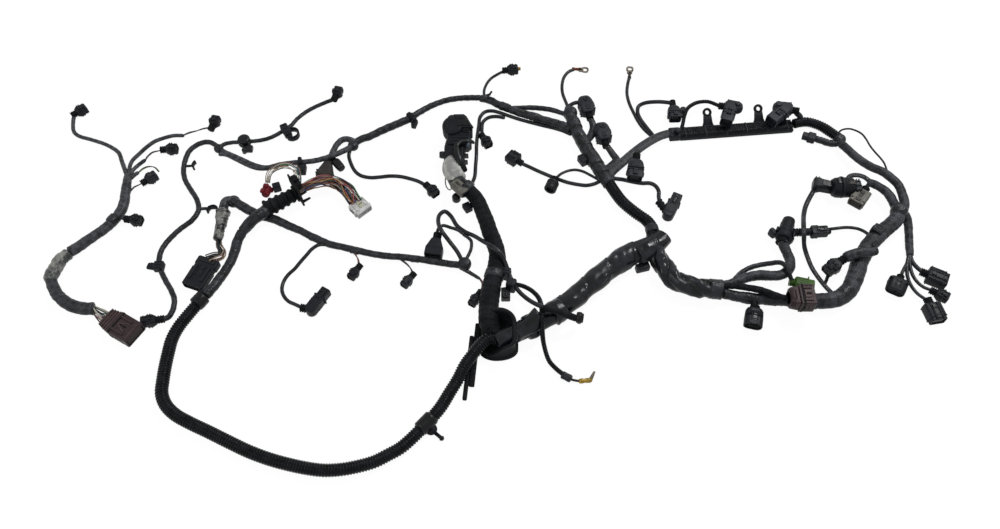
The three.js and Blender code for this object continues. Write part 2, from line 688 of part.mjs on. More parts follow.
// The large plug of the control unit: ribbed housing, round lever boss, lever knob and hook
const controlPlug =
  ({ length, width, height, bulge }) =>
  (make) => {
    const ribs = [0.15, 0.3, 0.45, 0.6].map((share) =>
      make.block(3, width + 3, height - 6, share * length, 0, 3),
    );
    return {
      solids: [
        make.block(length, width, height, 0),
        make.post(bulge, height + 4, length - bulge / 2, 6),
        make.block(length * 0.5, 0.4 * width, 4, length * 0.45, -6, height - 1),
        make.block(8, 8, 10, 0.32 * length, width / 2 + 2, 8),
        make.wedge(16, 12, 5, 4, 2, -8, height - 1),
        ...ribs,
      ],
      ...mouth(make, length, width, height, 4),
    };
  };

// A plug whose housing turns away from its cable boot
const elbowPlug =
  ({ boot, length, width, height, wall }, turn) =>
  (make) => {
    const housing = make.at(boot, 0, 0, turn);
    return {
      solids: [
        make.rod(0.8 * height, boot, 0, 0, height / 2),
        make.post(width, height, boot),
        housing.block(length, width, height, 0),
        housing.block(3, width + 3, height, 0.55 * length),
        housing.block(0.5 * length, LATCH_WIDTH, 3, 0.4 * length, 0, height - 1),
      ],
      ...mouth(housing, length, width, height, wall),
    };
  };

// A hooded rail plug: a housing along the rail and a nose that comes down across it
const hoodPlug =
  ({ length, width, height, boot, wall }, turn) =>
  (make) => {
    const nose = make.at(0.5 * length, 0, 0, turn);
    return {
      solids: [
        make.rod(0.8 * height, boot + 1, 0, 0, height / 2),
        make.block(length - boot, width, height, boot),
        nose.block(0.95 * length, 0.9 * width + 4, height, -2),
        nose.block(0.3 * length, LATCH_WIDTH, 4, 0.3 * length, 0, height - 1),
        make.post(9, height + 3, 0.75 * length),
      ],
      ...mouth(nose, 0.95 * length - 2, 0.9 * width + 4, height, wall),
    };
  };

// A plug in a flared rubber boot
const bootPlug =
  ({ boot, bootD, flare, nose, width, height, wall }) =>
  (make) => {
    const total = boot + flare + nose;
    return {
      solids: [
        make.rod(bootD + 3, boot / 2, 0, 0, height / 2),
        make.rod(bootD, boot - 4, 0, 0, height / 2),
        make.wedge(flare, bootD + 3, width, height, boot - 5),
        make.block(nose + 6, width, height, total - nose - 6),
      ],
      ...mouth(make, total, width, height, wall),
    };
  };

// The low square plug with a flange round its middle
const lowPlug =
  ({ boot, length, width, height, wall }) =>
  (make) => ({
    solids: [
      make.rod(0.8 * height, boot, 0, 0, height / 2),
      make.block(length, width, height, boot - 1),
      make.block(4, width + 4, height + 1, boot + 3),
      make.block(10, LATCH_WIDTH + 2, LATCH_HEIGHT + 1, boot + 6, 0, height - 1),
    ],
    ...mouth(make, boot + length - 1, width, height, wall),
  });

// The pressure sensor in its clamp: a lying can, a side neck and the plug on that neck
const rightSensor = (make) => {
  const { bootD, boot, canD, canLength, lipD, clamp } = SENSOR;
  const { diameter, length, plugLength, plugWidth, turn } = SENSOR_NECK;
  const neck = make.at(boot + 10, -6, 0, turn);
  return {
    solids: [
      make.rod(bootD, boot + 2, 0, 0, canD / 2),
      make.rod(canD, canLength, boot, 0, canD / 2),
      make.rod(lipD, canLength + clamp, boot, 0, canD / 2),
      neck.rod(diameter, length, 0, 0, diameter / 2 + clamp),
      neck.block(plugLength, plugWidth, plugWidth, length - 2, 0, 2),
      neck.block(10, LATCH_WIDTH, LATCH_HEIGHT + 1.5, length + 4, 0, plugWidth + 1),
    ],
    holes: [],
    cores: [],
  };
};

const ribbedPlug =
  ({ length, diameter, ribs, block, width, height }) =>
  (make) => {
    const start = block - 5;
    const pitch = (length - 6) / ribs;
    const rings = Array.from({ length: ribs }, (_, i) =>
      make.rod(diameter, pitch * 0.6, start + 4 + i * pitch, 0, diameter / 2),
    );
    return {
      solids: [
        make.block(block, width, height, 0, 4, 3),
        make.rod(diameter - 5, length, start, 0, diameter / 2),
        make.block(9, 15, height - 2, start + length - 2, -3, 3),
        ...rings,
      ],
      holes: [],
      cores: [],
    };
  };

// The plug whose housing is two rounded ways side by side
const ovalPlug =
  ({ boot, length, width, height, way, wall }) =>
  (make) => ({
    solids: [
      make.rod(way - 5, boot, 0, 0, height / 2),
      make.rod(way, length, boot - 1, 6, height / 2),
      make.rod(way, length, boot - 1, -6, height / 2),
      make.block(length, 12, height, boot - 1),
      make.block(4, width, height + 1, boot + 4),
    ],
    ...mouth(make, boot + length - 1, width, height, wall),
  });

const roundPlug =
  ({ length, diameter, mouth: mouthWidth, depth }) =>
  (make) => ({
    solids: [
      make.rod(diameter - 6, 8, 0, 0, diameter / 2),
      make.rod(diameter, length - 7, 7, 0, diameter / 2),
      make.block(8, LATCH_WIDTH, 3, 10, 0, diameter - 2),
    ],
    holes: [make.rod(mouthWidth, depth + 1, length - depth, 0, diameter / 2)],
    cores: [],
  });

// A crimped ring terminal that lies on the table
const ringTerminal = (make) => {
  const centre = CRIMP_LENGTH + 0.75 * RING_D;
  return {
    solids: [
      make.rod(CRIMP_D, CRIMP_LENGTH, 0, 0, CRIMP_D / 2),
      make.block(centre - CRIMP_LENGTH + 1, CRIMP_D - 1, RING_THICKNESS, CRIMP_LENGTH - 2, 0, 1),
      make.post(RING_D, RING_THICKNESS, centre, 0, 1),
    ],
    holes: [make.post(RING_HOLE_D, RING_THICKNESS + 2, centre)],
    cores: [],
  };
};

// The ribbed duct with its two leaning bolt tabs and a post
const rail = (make) => {
  const ribs = [];
  for (let x = RAIL_RIB_PITCH / 2; x < RAIL_LENGTH; x += RAIL_RIB_PITCH)
    ribs.push(make.block(3, RAIL_WIDTH, RAIL_RIB + 1, x, 0, RAIL_HEIGHT - 1 - RAIL_RIB));
  const tabs = TAB_PLACES.map((x) => make.at(x, RAIL_WIDTH / 2 - 4, 1, 90, TAB_LEAN));
  return {
    solids: [
      make.block(RAIL_LENGTH, RAIL_WIDTH, RAIL_HEIGHT - RAIL_RIB, 0),
      make.post(8, RAIL_HEIGHT + 8, 12, -2),
      make.tube(COIL_LEAD2, COIL_LEAD_D),
      ...ribs,
      ...tabs.map((tab) => tab.block(TAB_LENGTH - TAB_WIDTH / 2, TAB_WIDTH, TAB_THICKNESS, 0)),
      ...tabs.map((tab) => tab.post(TAB_WIDTH, TAB_THICKNESS, TAB_LENGTH - TAB_WIDTH / 2)),
    ],
    holes: tabs.map((tab) =>
      tab.post(TAB_HOLE_D, TAB_THICKNESS + 2, TAB_LENGTH - TAB_WIDTH / 2, 0, -1),
    ),
    cores: [],
  };
};

// The ribbed rubber boot that carries the upright flange
const ribbedBoot = (make) => {
  const pitch = (BOOT_LENGTH - 8) / (BOOT_RIBS - 1);
  const ribs = Array.from({ length: BOOT_RIBS }, (_, i) =>
    make.rod(BOOT_THICK_D - 1.2 * i, BOOT_RIB_WIDTH, i * pitch, 0, BOOT_THICK_D / 2),
  );
  const flange = make.at(BOOT_LENGTH, 0, 0, 0);
  const spikeY = 3 - FLANGE_WIDTH / 2;
  return {
    solids: [
      make.rod(BOOT_THIN_D, BOOT_LENGTH + 4, 0, 0, BOOT_THICK_D / 2),
      flange.block(FLANGE_THICKNESS, FLANGE_WIDTH, FLANGE_HEIGHT, 0),
      flange.wedge(14, 5, 2, 4, 1, spikeY, 6),
      flange.wedge(12, 5, 2, 4, 1, spikeY, 24),
      ...ribs,
    ],
    holes: [],
    cores: [],
  };
};

// The grommet shell over the crossing of the heavy looms, with its two fin plates
const grommetShell = (make) => {
  const { length, width, height, brim, brimHeight, x, y } = SHELL;
  const finX = x - length / 2 - 5;
  const finY = y - FIN.back;
  return {
    solids: [
      make.dome(length, width, height, x, y),
      make.dome(length + brim, width + brim, brimHeight, x, y),
      make.block(FIN.length, FIN.width, FIN.height, finX, finY),
      make.block(FIN.length - 2, FIN.width, FIN.height, finX - FIN.length + 2, finY - FIN.step),
    ],
    holes: [],
    cores: [],
  };
};

// Looms: tubes, taped collars and clips, in the harness's own frame

// A short collar round a loom between two of its route points
const collar = (make, route, index, diameter) =>
  make.tube(route.slice(index, index + 2), diameter);

// A fastener block on a loom: length along the heading, standing on the table
const fastener = (make, x, y, heading, length, width, height) =>
  make.at(x, y, 0, heading).block(length, width, height, -length / 2);

const plain = (solids) => ({ solids, holes: [], cores: [] });

const leftLoom = (make) =>
  plain([
    make.tube(LEFT_TRUNK, LEFT_TRUNK_D),
    make.tube(CAM_LEAD, CAM_LEAD_D),
    make.tube(LEAD_TWO, SLEEVED_LEAD_D),
    make.tube(WIRE_TWO, WIRE_PAIR_D),
    make.tube(LEAD_THREE, SLEEVED_LEAD_D),
    make.tube(WIRE_THREE, WIRE_PAIR_D),
    make.tube(LEAD_FOUR, SLEEVED_LEAD_D),
    make.tube(WIRE_FOUR_UP, WIRE_PAIR_D),
    make.tube(WIRE_FOUR_LOW, WIRE_PAIR_D),
    make.tube(STUB_FIVE, SLEEVED_LEAD_D),
    collar(make, LEFT_TRUNK, 5, LEFT_TRUNK_D + 2),
  ]);

const leftSleeves = (make) =>
  plain([
    make.tube(GREY_SLEEVE, GREY_SLEEVE_D),
    make.tube(TAIL_SLEEVE, TAIL_SLEEVE_D),
    make.tube(TAIL_WIRES, TAIL_WIRES_D),
  ]);

const sensorLoom = (make) =>
  plain([
    make.tube(SENSOR_CABLE, SENSOR_CABLE_D),
    make.tube(BRANCH_CABLE, BRANCH_CABLE_D),
    make.tube(SENSOR_STUB, BOOT_LEAD_D),
    make.at(-415, 169, 0, 0).post(15, 12, 0),
    fastener(make, -464, -49, 90, 14, 14, 11),
    fastener(make, -476, -45, 150, 14, 4, 4),
    fastener(make, -474, -54, 190, 12, 4, 4),
    fastener(make, -458, 136, 5, 12, 4, 5),
    fastener(make, -451, 137, 95, 13, 4, 5),
    fastener(make, -405, 57, 0, 15, 4, 9),
    fastener(make, -398, 50, -70, 13, 4, 9),
    fastener(make, -411, 48, -110, 12, 4, 9),
    make.at(-377, 184, 0, 0).post(21, 14, 0),
    fastener(make, -375, 169, 0, 13, 12, 8),
    fastener(make, -314, 206, 120, 24, 12, 11),
    fastener(make, -303, 208, 80, CLIP_THICKNESS, 22, 9),
    fastener(make, -293, 199, 170, CLIP_THICKNESS, 20, 9),
    fastener(make, -298, 191, 80, CLIP_THICKNESS, 17, 9),
  ]);

const upperLoom = (make) =>
  plain([
    make.tube(UPPER_A, UPPER_LOOM_D),
    make.tube(UPPER_STRAND, UPPER_STRAND_D),
    make.tube(UPPER_B, UPPER_THICK_D),
    make.tube(UPPER_C, UPPER_THIN_D),
    make.tube(TAPED_LOOP, TAPED_LOOP_D),
    make.tube(MID_LEAD, LOWER_TWIN_D),
    make.at(-204, 174, 0, 0).post(17, 14, 0),
    fastener(make, -284, 142, 5, 6, 13, 12),
    fastener(make, -280, 128, 0, 14, 18, 10),
    fastener(make, -115, 230, 45, 9, 18, 16),
    fastener(make, -110, 221, 75, 14, 8, 9),
    make.at(-239, 147, 0, -98).wedge(34, 12, 27, 13, 0),
    make.at(-236, 152, 0, -52).block(10, 7, 9, 0),
    make.at(-230, 145, 0, -52).block(22, 14, 13, 0),
  ]);

const crossLoom = (make) =>
  plain([
    make.tube(CROSS, CROSS_LOOM_D),
    make.tube(PARALLEL, PARALLEL_LEAD_D),
    make.tube(LOWER_TWIN_A, LOWER_TWIN_D),
    make.tube(LOWER_TWIN_B, LOWER_TWIN_D),
    make.tube(AMBER_LEAD, AMBER_LEAD_D),
    fastener(make, 12, 269, 65, 6, 14, 14),
    fastener(make, 4, 284, 20, 16, 4, 5),
  ]);

const controlLoom = (make) =>
  plain([
    make.tube(ECU_TRUNK.slice(0, 7), ECU_LOOM_D - 2),
    make.tube(ECU_TRUNK.slice(5, 11), ECU_LOOM_D),
    make.tube(ECU_TRUNK.slice(9), ECU_LOOM_D + 3),
    collar(make, ECU_TRUNK, 0, ECU_LOOM_D + 3),
    fastener(make, -36, 74, -60, 12, 10, 14),
    fastener(make, -20, 56, -60, 16, 12, 9),
  ]);

const loopConduit = (make) =>
  plain([
    make.tube(CONDUIT, CONDUIT_D),
    make.tube(CONDUIT.slice(9, 12), CONDUIT_D + 4),
    make.tube([CONDUIT.at(-2), CONDUIT.at(-1)], CONDUIT_D + 5),
    make.at(-62, -296, 0, -40).post(16, 7, 3),
    make.at(-60, -299, 0, -40).block(18, 5, 5, 0),
    fastener(make, -393, -96, 20, 10, 12, 12),
  ]);

const dashLoom = (make) =>
  plain([make.tube(DASH_LOW, DASH_LOW_D), make.tube(DASH_UP, DASH_HIGH_D)]);

const colourBundle = (make) =>
  plain([
    make.tube(BUNDLE.slice(0, 6), BUNDLE_THIN_D),
    make.tube(BUNDLE.slice(4), BUNDLE_THICK_D - 2),
    make.tube(COLOUR_LOOP, COLOUR_LOOP_D),
    fastener(make, -327, 84, 80, 22, 17, 19),
    fastener(make, -313, 92, 20, 12, 9, 16),
  ]);

const injectorLoom = (make) =>
  plain([
    make.tube(INJECTOR.slice(0, 8), INJECTOR_THICK_D),
    make.tube(INJECTOR.slice(6, 13), INJECTOR_MIDDLE_D),
    make.tube(INJECTOR.slice(11), INJECTOR_THIN_D),
    make.tube(CORNER, LEG_D + 1),
    make.tube(LEG, LEG_D),
    make.tube(LEG_WIRES, LEG_WIRES_D),
    make.tube(ELBOW_LEAD, BOOT_LEAD_D + 0.5),
    make.tube(INJ_WIRE1, WIRE_PAIR_D),
    make.tube(INJ_WIRE2, WIRE_PAIR_D),
    make.tube(INJ_LEAD3, SLEEVED_LEAD_D),
    make.tube(INJ_WIRE3, WIRE_PAIR_D),
    make.at(-375, 66, 0, 0).post(24, 16, 0),
    make.at(-24, -46, 0, 0).post(20, 16, 0),
  ]);

const loopLead = (make) =>
  plain([
    make.tube(LOOP_LEAD, LOOP_LEAD_D),
    make.tube(THICK_TUBE, LOOP_TUBE_D),
    make.tube(BOOT_LEAD, BOOT_LEAD_D),
    make.at(131, -142, 16, -10).rod(16, 10, 0, 0, 8),
    make.at(136, -142, 16, -10).post(8, 18, 0, 0, -4),
    fastener(make, 36, -64, 75, 12, 12, 20),
  ]);

const groundLead = (make) =>
  plain([
    make.tube(GROUND_LEAD, GROUND_LEAD_D),
    make.tube(BARE_WIRE, BARE_WIRE_D),
    make.at(110, -219, 0, -30).rod(11, 14, 0, 0, 5.5, 10),
    make.at(132, -228, 0, 5).rod(7, 18, 0, 0, 3.8, 10),
    make.at(147, -227, 0, 60).block(16, 6, 3, 0, 0, 1),
    make.at(36, -82, 0, -15).block(14, 13, 24, 0),
    make.at(28, -96, 0, 0).block(15, 18, 14, 0),
  ]);

const foilTrunk = (make) =>
  plain([
    make.tube(FOIL, FOIL_TRUNK_D),
    make.tube(TWIST, TWIST_D),
    make.at(246, -21, 0, 0).post(34, 30, 0),
    collar(make, TWIST, 6, TWIST_D + 3),
    make.tube(UP_BRANCH, UP_BRANCH_D),
    make.tube(ARC, ARC_LEAD_D),
    make.tube(LOW_BRANCH_A, LOW_BRANCH_D),
    make.tube(LOW_BRANCH_B, RIGHT_FEED_D),
    make.tube(LOW_STUB, LOW_BRANCH_D),
    fastener(make, 232, -51, 15, 20, 10, 12),
    make.at(158, -84, 9, 40).wedge(34, 8, 16, 4, 0, -5),
  ]);

const rightTrunk = (make) =>
  plain([
    make.tube(RIGHT_TRUNK, RIGHT_TRUNK_D),
    make.tube(OUTER, OUTER_LOOM_D),
    make.tube(INNER, INNER_LOOM_D),
    make.at(617, 38, 9, 0).post(24, 24, 0),
    make.tube(FLAT_LEAD, FLAT_LEAD_D),
    make.tube(GREY_STUB, FLAT_LEAD_D),
    make.tube(HOOP_WIRE, HOOP_WIRE_D),
    make.tube(TWIN_LEAD, TWIN_LEAD_D),
    make.tube(SENSOR_LEAD, SENSOR_LEAD_D),
    make.tube(ARM_STUB, SENSOR_LEAD_D),
    make.tube(DOWN, DOWN_LOOM_D),
    make.tube(ARM, DOWN_LOOM_D),
    make.tube(DOWN_OVAL, SENSOR_LEAD_D),
    make.tube(DOWN_THREE, END_LEAD_D),
    make.tube(END_LEAD_2, END_LEAD_D),
    make.tube(END_LEAD_3, END_LEAD_D),
    make.tube(RIGHT_CONDUIT, RIGHT_CONDUIT_D),
    make.tube(SLEEVED_STUB, STUB_SLEEVE_D),
    make.tube(HOOD_STUB, UPPER_LOOM_D),
    make.at(526, 189, 0, 160).block(20, 14, 12, 0),
    make.at(562, 183, 3, 0).post(19, 16, 0),
    make.at(576, 2, 0, 45).block(14, 16, 30, -7),
    make.at(592, 6, 0, -45).block(12, 8, 14, 0),
  ]);

const centreTrunk = (make) =>
  plain([
    make.tube(CENTRE, CENTRE_TRUNK_D),
    make.tube(CENTRE_CONDUIT, CENTRE_CONDUIT_D),
    make.at(140, 238, 0, 0).post(22, 20, 0),
    make.tube(RIBBON, RIBBON_D),
    make.tube(RING_LEAD1, RING_LEAD_D),
    make.tube(RING_LEAD2, RING_LEAD_D),
    make.tube(COIL_LEAD1, COIL_LEAD_D),
    make.tube(SQUARE_LEAD, SQUARE_LEAD_D),
    make.tube(ROUND_LEAD, ROUND_LEAD_D),
    make.tube(RIGHT_LEAD, COIL_LEAD_D),
    make.tube(RIBBON_TOP, COIL_LEAD_D),
    make.tube(RIBBON_1, RIBBON_LEAD_D),
    make.tube(RIBBON_2, RIBBON_LEAD_D),
    make.tube(RIBBON_3, RIBBON_LEAD_D),
    make.tube(SIDE_BRANCH, BOOT_LEAD_D),
    fastener(make, 157, 146, -60, 16, 14, 14),
  ]);

// Finishes

const finish = (color, roughness, metalness = 0) => ({ color, roughness, metalness });
const TAPE = finish("#22242a", 0.6);
const BLACK_PLASTIC = finish("#1c1d20", 0.5);
const RUBBER = finish("#191a1c", 0.75);
const BROWN_PLASTIC = finish("#503a35", 0.45);
const GREEN_PLASTIC = finish("#4f7a35", 0.45);
const WHITE_PLASTIC = finish("#d2d0c6", 0.5);
const GREY_PLASTIC = finish("#5d5a55", 0.5);
const SLEEVE_GREY = finish("#6d6f69", 0.55);
const LABEL_WHITE = finish("#c9c7bd", 0.7);
const TINNED_COPPER = finish("#8a7256", 0.35, 1);

// The harness, zone by zone: connectors come before the looms that they cut
// Each entry is [name, finish, frame, recipe]

const table = pose(0, 0, 0, 0);
const small = sealedPlug(SMALL_PLUG);
const middle = sealedPlug(MIDDLE_PLUG);
const end = sealedPlug(END_PLUG);
const overFeed = RIGHT_FEED_D + CLEARANCE;
const overRail = RAIL_HEIGHT + CLEARANCE;

const connectors = [
  ["plug_brown_left", BROWN_PLASTIC, atEnd(TAIL_WIRES, -30), widePlug(BROWN_PLUG)],
  ["plug_cam", BLACK_PLASTIC, atEnd(CAM_LEAD, 42), small],
  ["plug_left_2", BLACK_PLASTIC, atEnd(WIRE_TWO, 78), small],
  ["plug_left_3", BLACK_PLASTIC, atEnd(WIRE_THREE, 5), small],
  ["plug_left_4", GREY_PLASTIC, atEnd(WIRE_FOUR_LOW, 42), small],
  ["plug_left_5", BLACK_PLASTIC, atEnd(STUB_FIVE, -8), small],
  ["plug_sensor", BLACK_PLASTIC, atStart(SENSOR_CABLE, 190), small],
  ["plug_branch", BLACK_PLASTIC, atEnd(BRANCH_CABLE, 75), small],
  ["plug_amber", BLACK_PLASTIC, atEnd(AMBER_LEAD, 8), small],
  ["plug_side", BLACK_PLASTIC, atEnd(LOWER_TWIN_B, -60), small],
  ["plug_mid_lead", BLACK_PLASTIC, atEnd(MID_LEAD, -48), small],
  ["plug_control_unit", BLACK_PLASTIC, pose(...CONTROL_PLACE, ECU_PLUG.pitch), controlPlug(ECU_PLUG)],
  ["grommet_shell", RUBBER, table, grommetShell],
  ["plug_white", WHITE_PLASTIC, atEnd(BUNDLE, -46), whitePlug(WHITE_PLUG)],
  ["plug_flat", BLACK_PLASTIC, atEnd(LEG_WIRES, -110), flatPlug(FLAT_PLUG)],
  ["plug_elbow", BLACK_PLASTIC, atEnd(ELBOW_LEAD, -10), elbowPlug(ELBOW_PLUG, 69)],
  ["plug_injector_1", BLACK_PLASTIC, atEnd(INJ_WIRE1, -120), small],
  ["plug_injector_2", BLACK_PLASTIC, atEnd(INJ_WIRE2, -125), small],
  ["plug_injector_3", BLACK_PLASTIC, atEnd(INJ_WIRE3, -122), small],
  ["plug_boot", BLACK_PLASTIC, atStart(BOOT_LEAD, -98), bootPlug(BOOT_PLUG)],
  ["plug_low", BLACK_PLASTIC, atEnd(LOW_STUB, -104), lowPlug(LOW_PLUG)],
  ["plug_green", GREEN_PLASTIC, atEnd(ARC, -5), greenPlug(GREEN_PLUG)],
  ["plug_brown_right", BROWN_PLASTIC, atEnd(LOW_BRANCH_A, 0, overFeed), widePlug(RIGHT_BROWN_PLUG)],
  ["sensor_right", BLACK_PLASTIC, atEnd(UP_BRANCH, 66), rightSensor],
  ["plug_arm", BLACK_PLASTIC, pose(...ARM_PLUG_PLACE), end],
  ["plug_grey", GREY_PLASTIC, atEnd(GREY_STUB, 232, 4), end],
  ["plug_ribbed", BLACK_PLASTIC, pose(...RIBBED_PLUG_PLACE), ribbedPlug(RIBBED_PLUG)],
  ["plug_oval", BLACK_PLASTIC, atEnd(DOWN_OVAL, 240), ovalPlug(OVAL_PLUG)],
  ["plug_end_1", BLACK_PLASTIC, atEnd(DOWN_THREE, -28), end],
  ["plug_end_2", BLACK_PLASTIC, atEnd(END_LEAD_2, -33), small],
  ["plug_end_3", BLACK_PLASTIC, atEnd(END_LEAD_3, -80), end],
  ["plug_rail_1", BLACK_PLASTIC, atEnd(COIL_LEAD1, -88, 4), knobPlug(COIL_PLUG, RAIL_KNOB)],
  ["plug_rail_2", BLACK_PLASTIC, atEnd(COIL_LEAD2, -8, overRail), hoodPlug(COIL_PLUG, -92)],
  ["plug_rail_3", BLACK_PLASTIC, atStart(HOOD_STUB, 172, overRail), hoodPlug(COIL_PLUG, 82)],
  ["plug_middle_1", BLACK_PLASTIC, atStart(RIBBON_1, 101), middle],
  ["plug_middle_2", BLACK_PLASTIC, atStart(RIBBON_2, 98), middle],
  ["plug_middle_3", BLACK_PLASTIC, atEnd(RIBBON_3, -99, 8), middle],
  ["plug_square", BLACK_PLASTIC, atStart(SQUARE_LEAD, 142), sealedPlug(SQUARE_PLUG)],
  ["plug_round", BLACK_PLASTIC, atStart(ROUND_LEAD, -112), roundPlug(ROUND_PLUG)],
  ["plug_corner", BLACK_PLASTIC, atEnd(RIGHT_LEAD, -62), elbowPlug(CORNER_PLUG, 125)],
  ["ring_terminal_1", TINNED_COPPER, atEnd(RING_LEAD1, -3), ringTerminal],
  ["ring_terminal_2", TINNED_COPPER, atStart(RING_LEAD2, 83), ringTerminal],
  ["rail", BLACK_PLASTIC, pose(...RAIL_PLACE), rail],
  ["ribbed_boot", RUBBER, pose(...RIBBED_BOOT_PLACE), ribbedBoot],
];

const looms = [
  ["label_sleeve", LABEL_WHITE, table, (make) => plain([make.tube(LABEL_SLEEVE, LABEL_SLEEVE_D)])],
  ["control_loom", TAPE, table, controlLoom],
  ["loop_conduit", BLACK_PLASTIC, table, loopConduit],
  ["foil_trunk", TAPE, table, foilTrunk],
  ["right_trunk", TAPE, table, rightTrunk],
  ["centre_trunk", TAPE, table, centreTrunk],
  ["cross_loom", TAPE, table, crossLoom],
  ["left_loom", TAPE, table, leftLoom],
  ["left_sleeves", SLEEVE_GREY, table, leftSleeves],
  ["sensor_loom", TAPE, table, sensorLoom],
  ["upper_loom", TAPE, table, upperLoom],
  ["injector_loom", TAPE, table, injectorLoom],
  ["dash_loom", TAPE, table, dashLoom],
  ["colour_bundle", TAPE, table, colourBundle],
  ["loop_lead", TAPE, table, loopLead],
  ["ground_lead", TAPE, table, groundLead],
];

// Each piece is cut by the grown copies of all pieces before it.
let taken = null;
function meshOf([name, look, frame, recipe]) {
  const { solids, holes, cores } = recipe(makerIn(frame, 0));
  let solid = joined(solids);
  for (const hole of holes) solid = solid.subtract(hole);
  for (const core of cores) solid = solid.add(core);
  if (taken) solid = solid.subtract(taken);
  const grown = joined(recipe(makerIn(frame, CLEARANCE)).solids);
  taken = taken ? taken.add(grown) : grown;
  const geometry = geometryOf(solid, frame.clone().invert());
  const mesh = new THREE.Mesh(geometry, new THREE.MeshStandardMaterial(look));
  mesh.name = name;
  mesh.applyMatrix4(frame);
  return mesh;
}

const harness = new THREE.Group();
for (const list of [connectors, looms]) {
  const zone = new THREE.Group();
  for (const entry of list) zone.add(meshOf(entry));
  harness.add(zone);
}

export default harness;
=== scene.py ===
# %% [markdown]
# # A vehicle's wiring harness, spread out on a white table
# The real object is a bundle of wires that splits like a tree. Heavy looms wound in black tape run
# between corrugated conduits, and thin leads end in moulded plugs. Most of it is one shape repeated:
# a section carried along a path. So nearly every piece here is made by one of two numpy sweeps, and the
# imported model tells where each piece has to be.

import bpy
import numpy as np
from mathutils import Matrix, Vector


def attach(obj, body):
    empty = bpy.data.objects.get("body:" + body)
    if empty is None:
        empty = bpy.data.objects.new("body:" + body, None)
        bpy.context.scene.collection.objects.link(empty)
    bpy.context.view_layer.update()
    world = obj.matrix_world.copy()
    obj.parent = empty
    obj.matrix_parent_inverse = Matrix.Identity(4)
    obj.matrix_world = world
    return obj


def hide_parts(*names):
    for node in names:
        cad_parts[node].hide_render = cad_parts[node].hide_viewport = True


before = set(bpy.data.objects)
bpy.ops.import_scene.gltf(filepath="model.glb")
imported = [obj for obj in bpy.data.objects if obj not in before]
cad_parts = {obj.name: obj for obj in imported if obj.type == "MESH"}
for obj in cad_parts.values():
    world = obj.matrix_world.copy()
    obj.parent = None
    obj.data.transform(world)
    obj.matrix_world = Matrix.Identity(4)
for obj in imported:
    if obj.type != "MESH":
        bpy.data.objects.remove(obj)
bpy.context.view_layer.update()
print("CAD nodes:", len(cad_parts))

# %% [markdown]
# ## The camera
# The photograph looks down on the table at a steep angle. Two cues fix that angle: how flat the round
# rings look, and how much of the side of the plugs can be seen. A 32 mm lens on a 36 mm sensor gives the
# slight widening towards the front.

# %% Camera
CAMERA_PLACE = Vector((0.027, -0.7182, 1.0821))
CAMERA_TARGET = Vector((0.027, -0.042, 0.0))
camera_data = bpy.data.cameras.new("camera")
camera_data.sensor_width = 36.0
camera_data.lens = 31.68
camera_data.clip_start = 0.01
camera = bpy.data.objects.new("camera", camera_data)
camera.location = CAMERA_PLACE
camera.rotation_euler = (CAMERA_TARGET - CAMERA_PLACE).to_track_quat("-Z", "Y").to_euler()
bpy.context.scene.collection.objects.link(camera)
bpy.context.scene.camera = camera
print("camera height and lens:", CAMERA_PLACE.z, camera_data.lens)
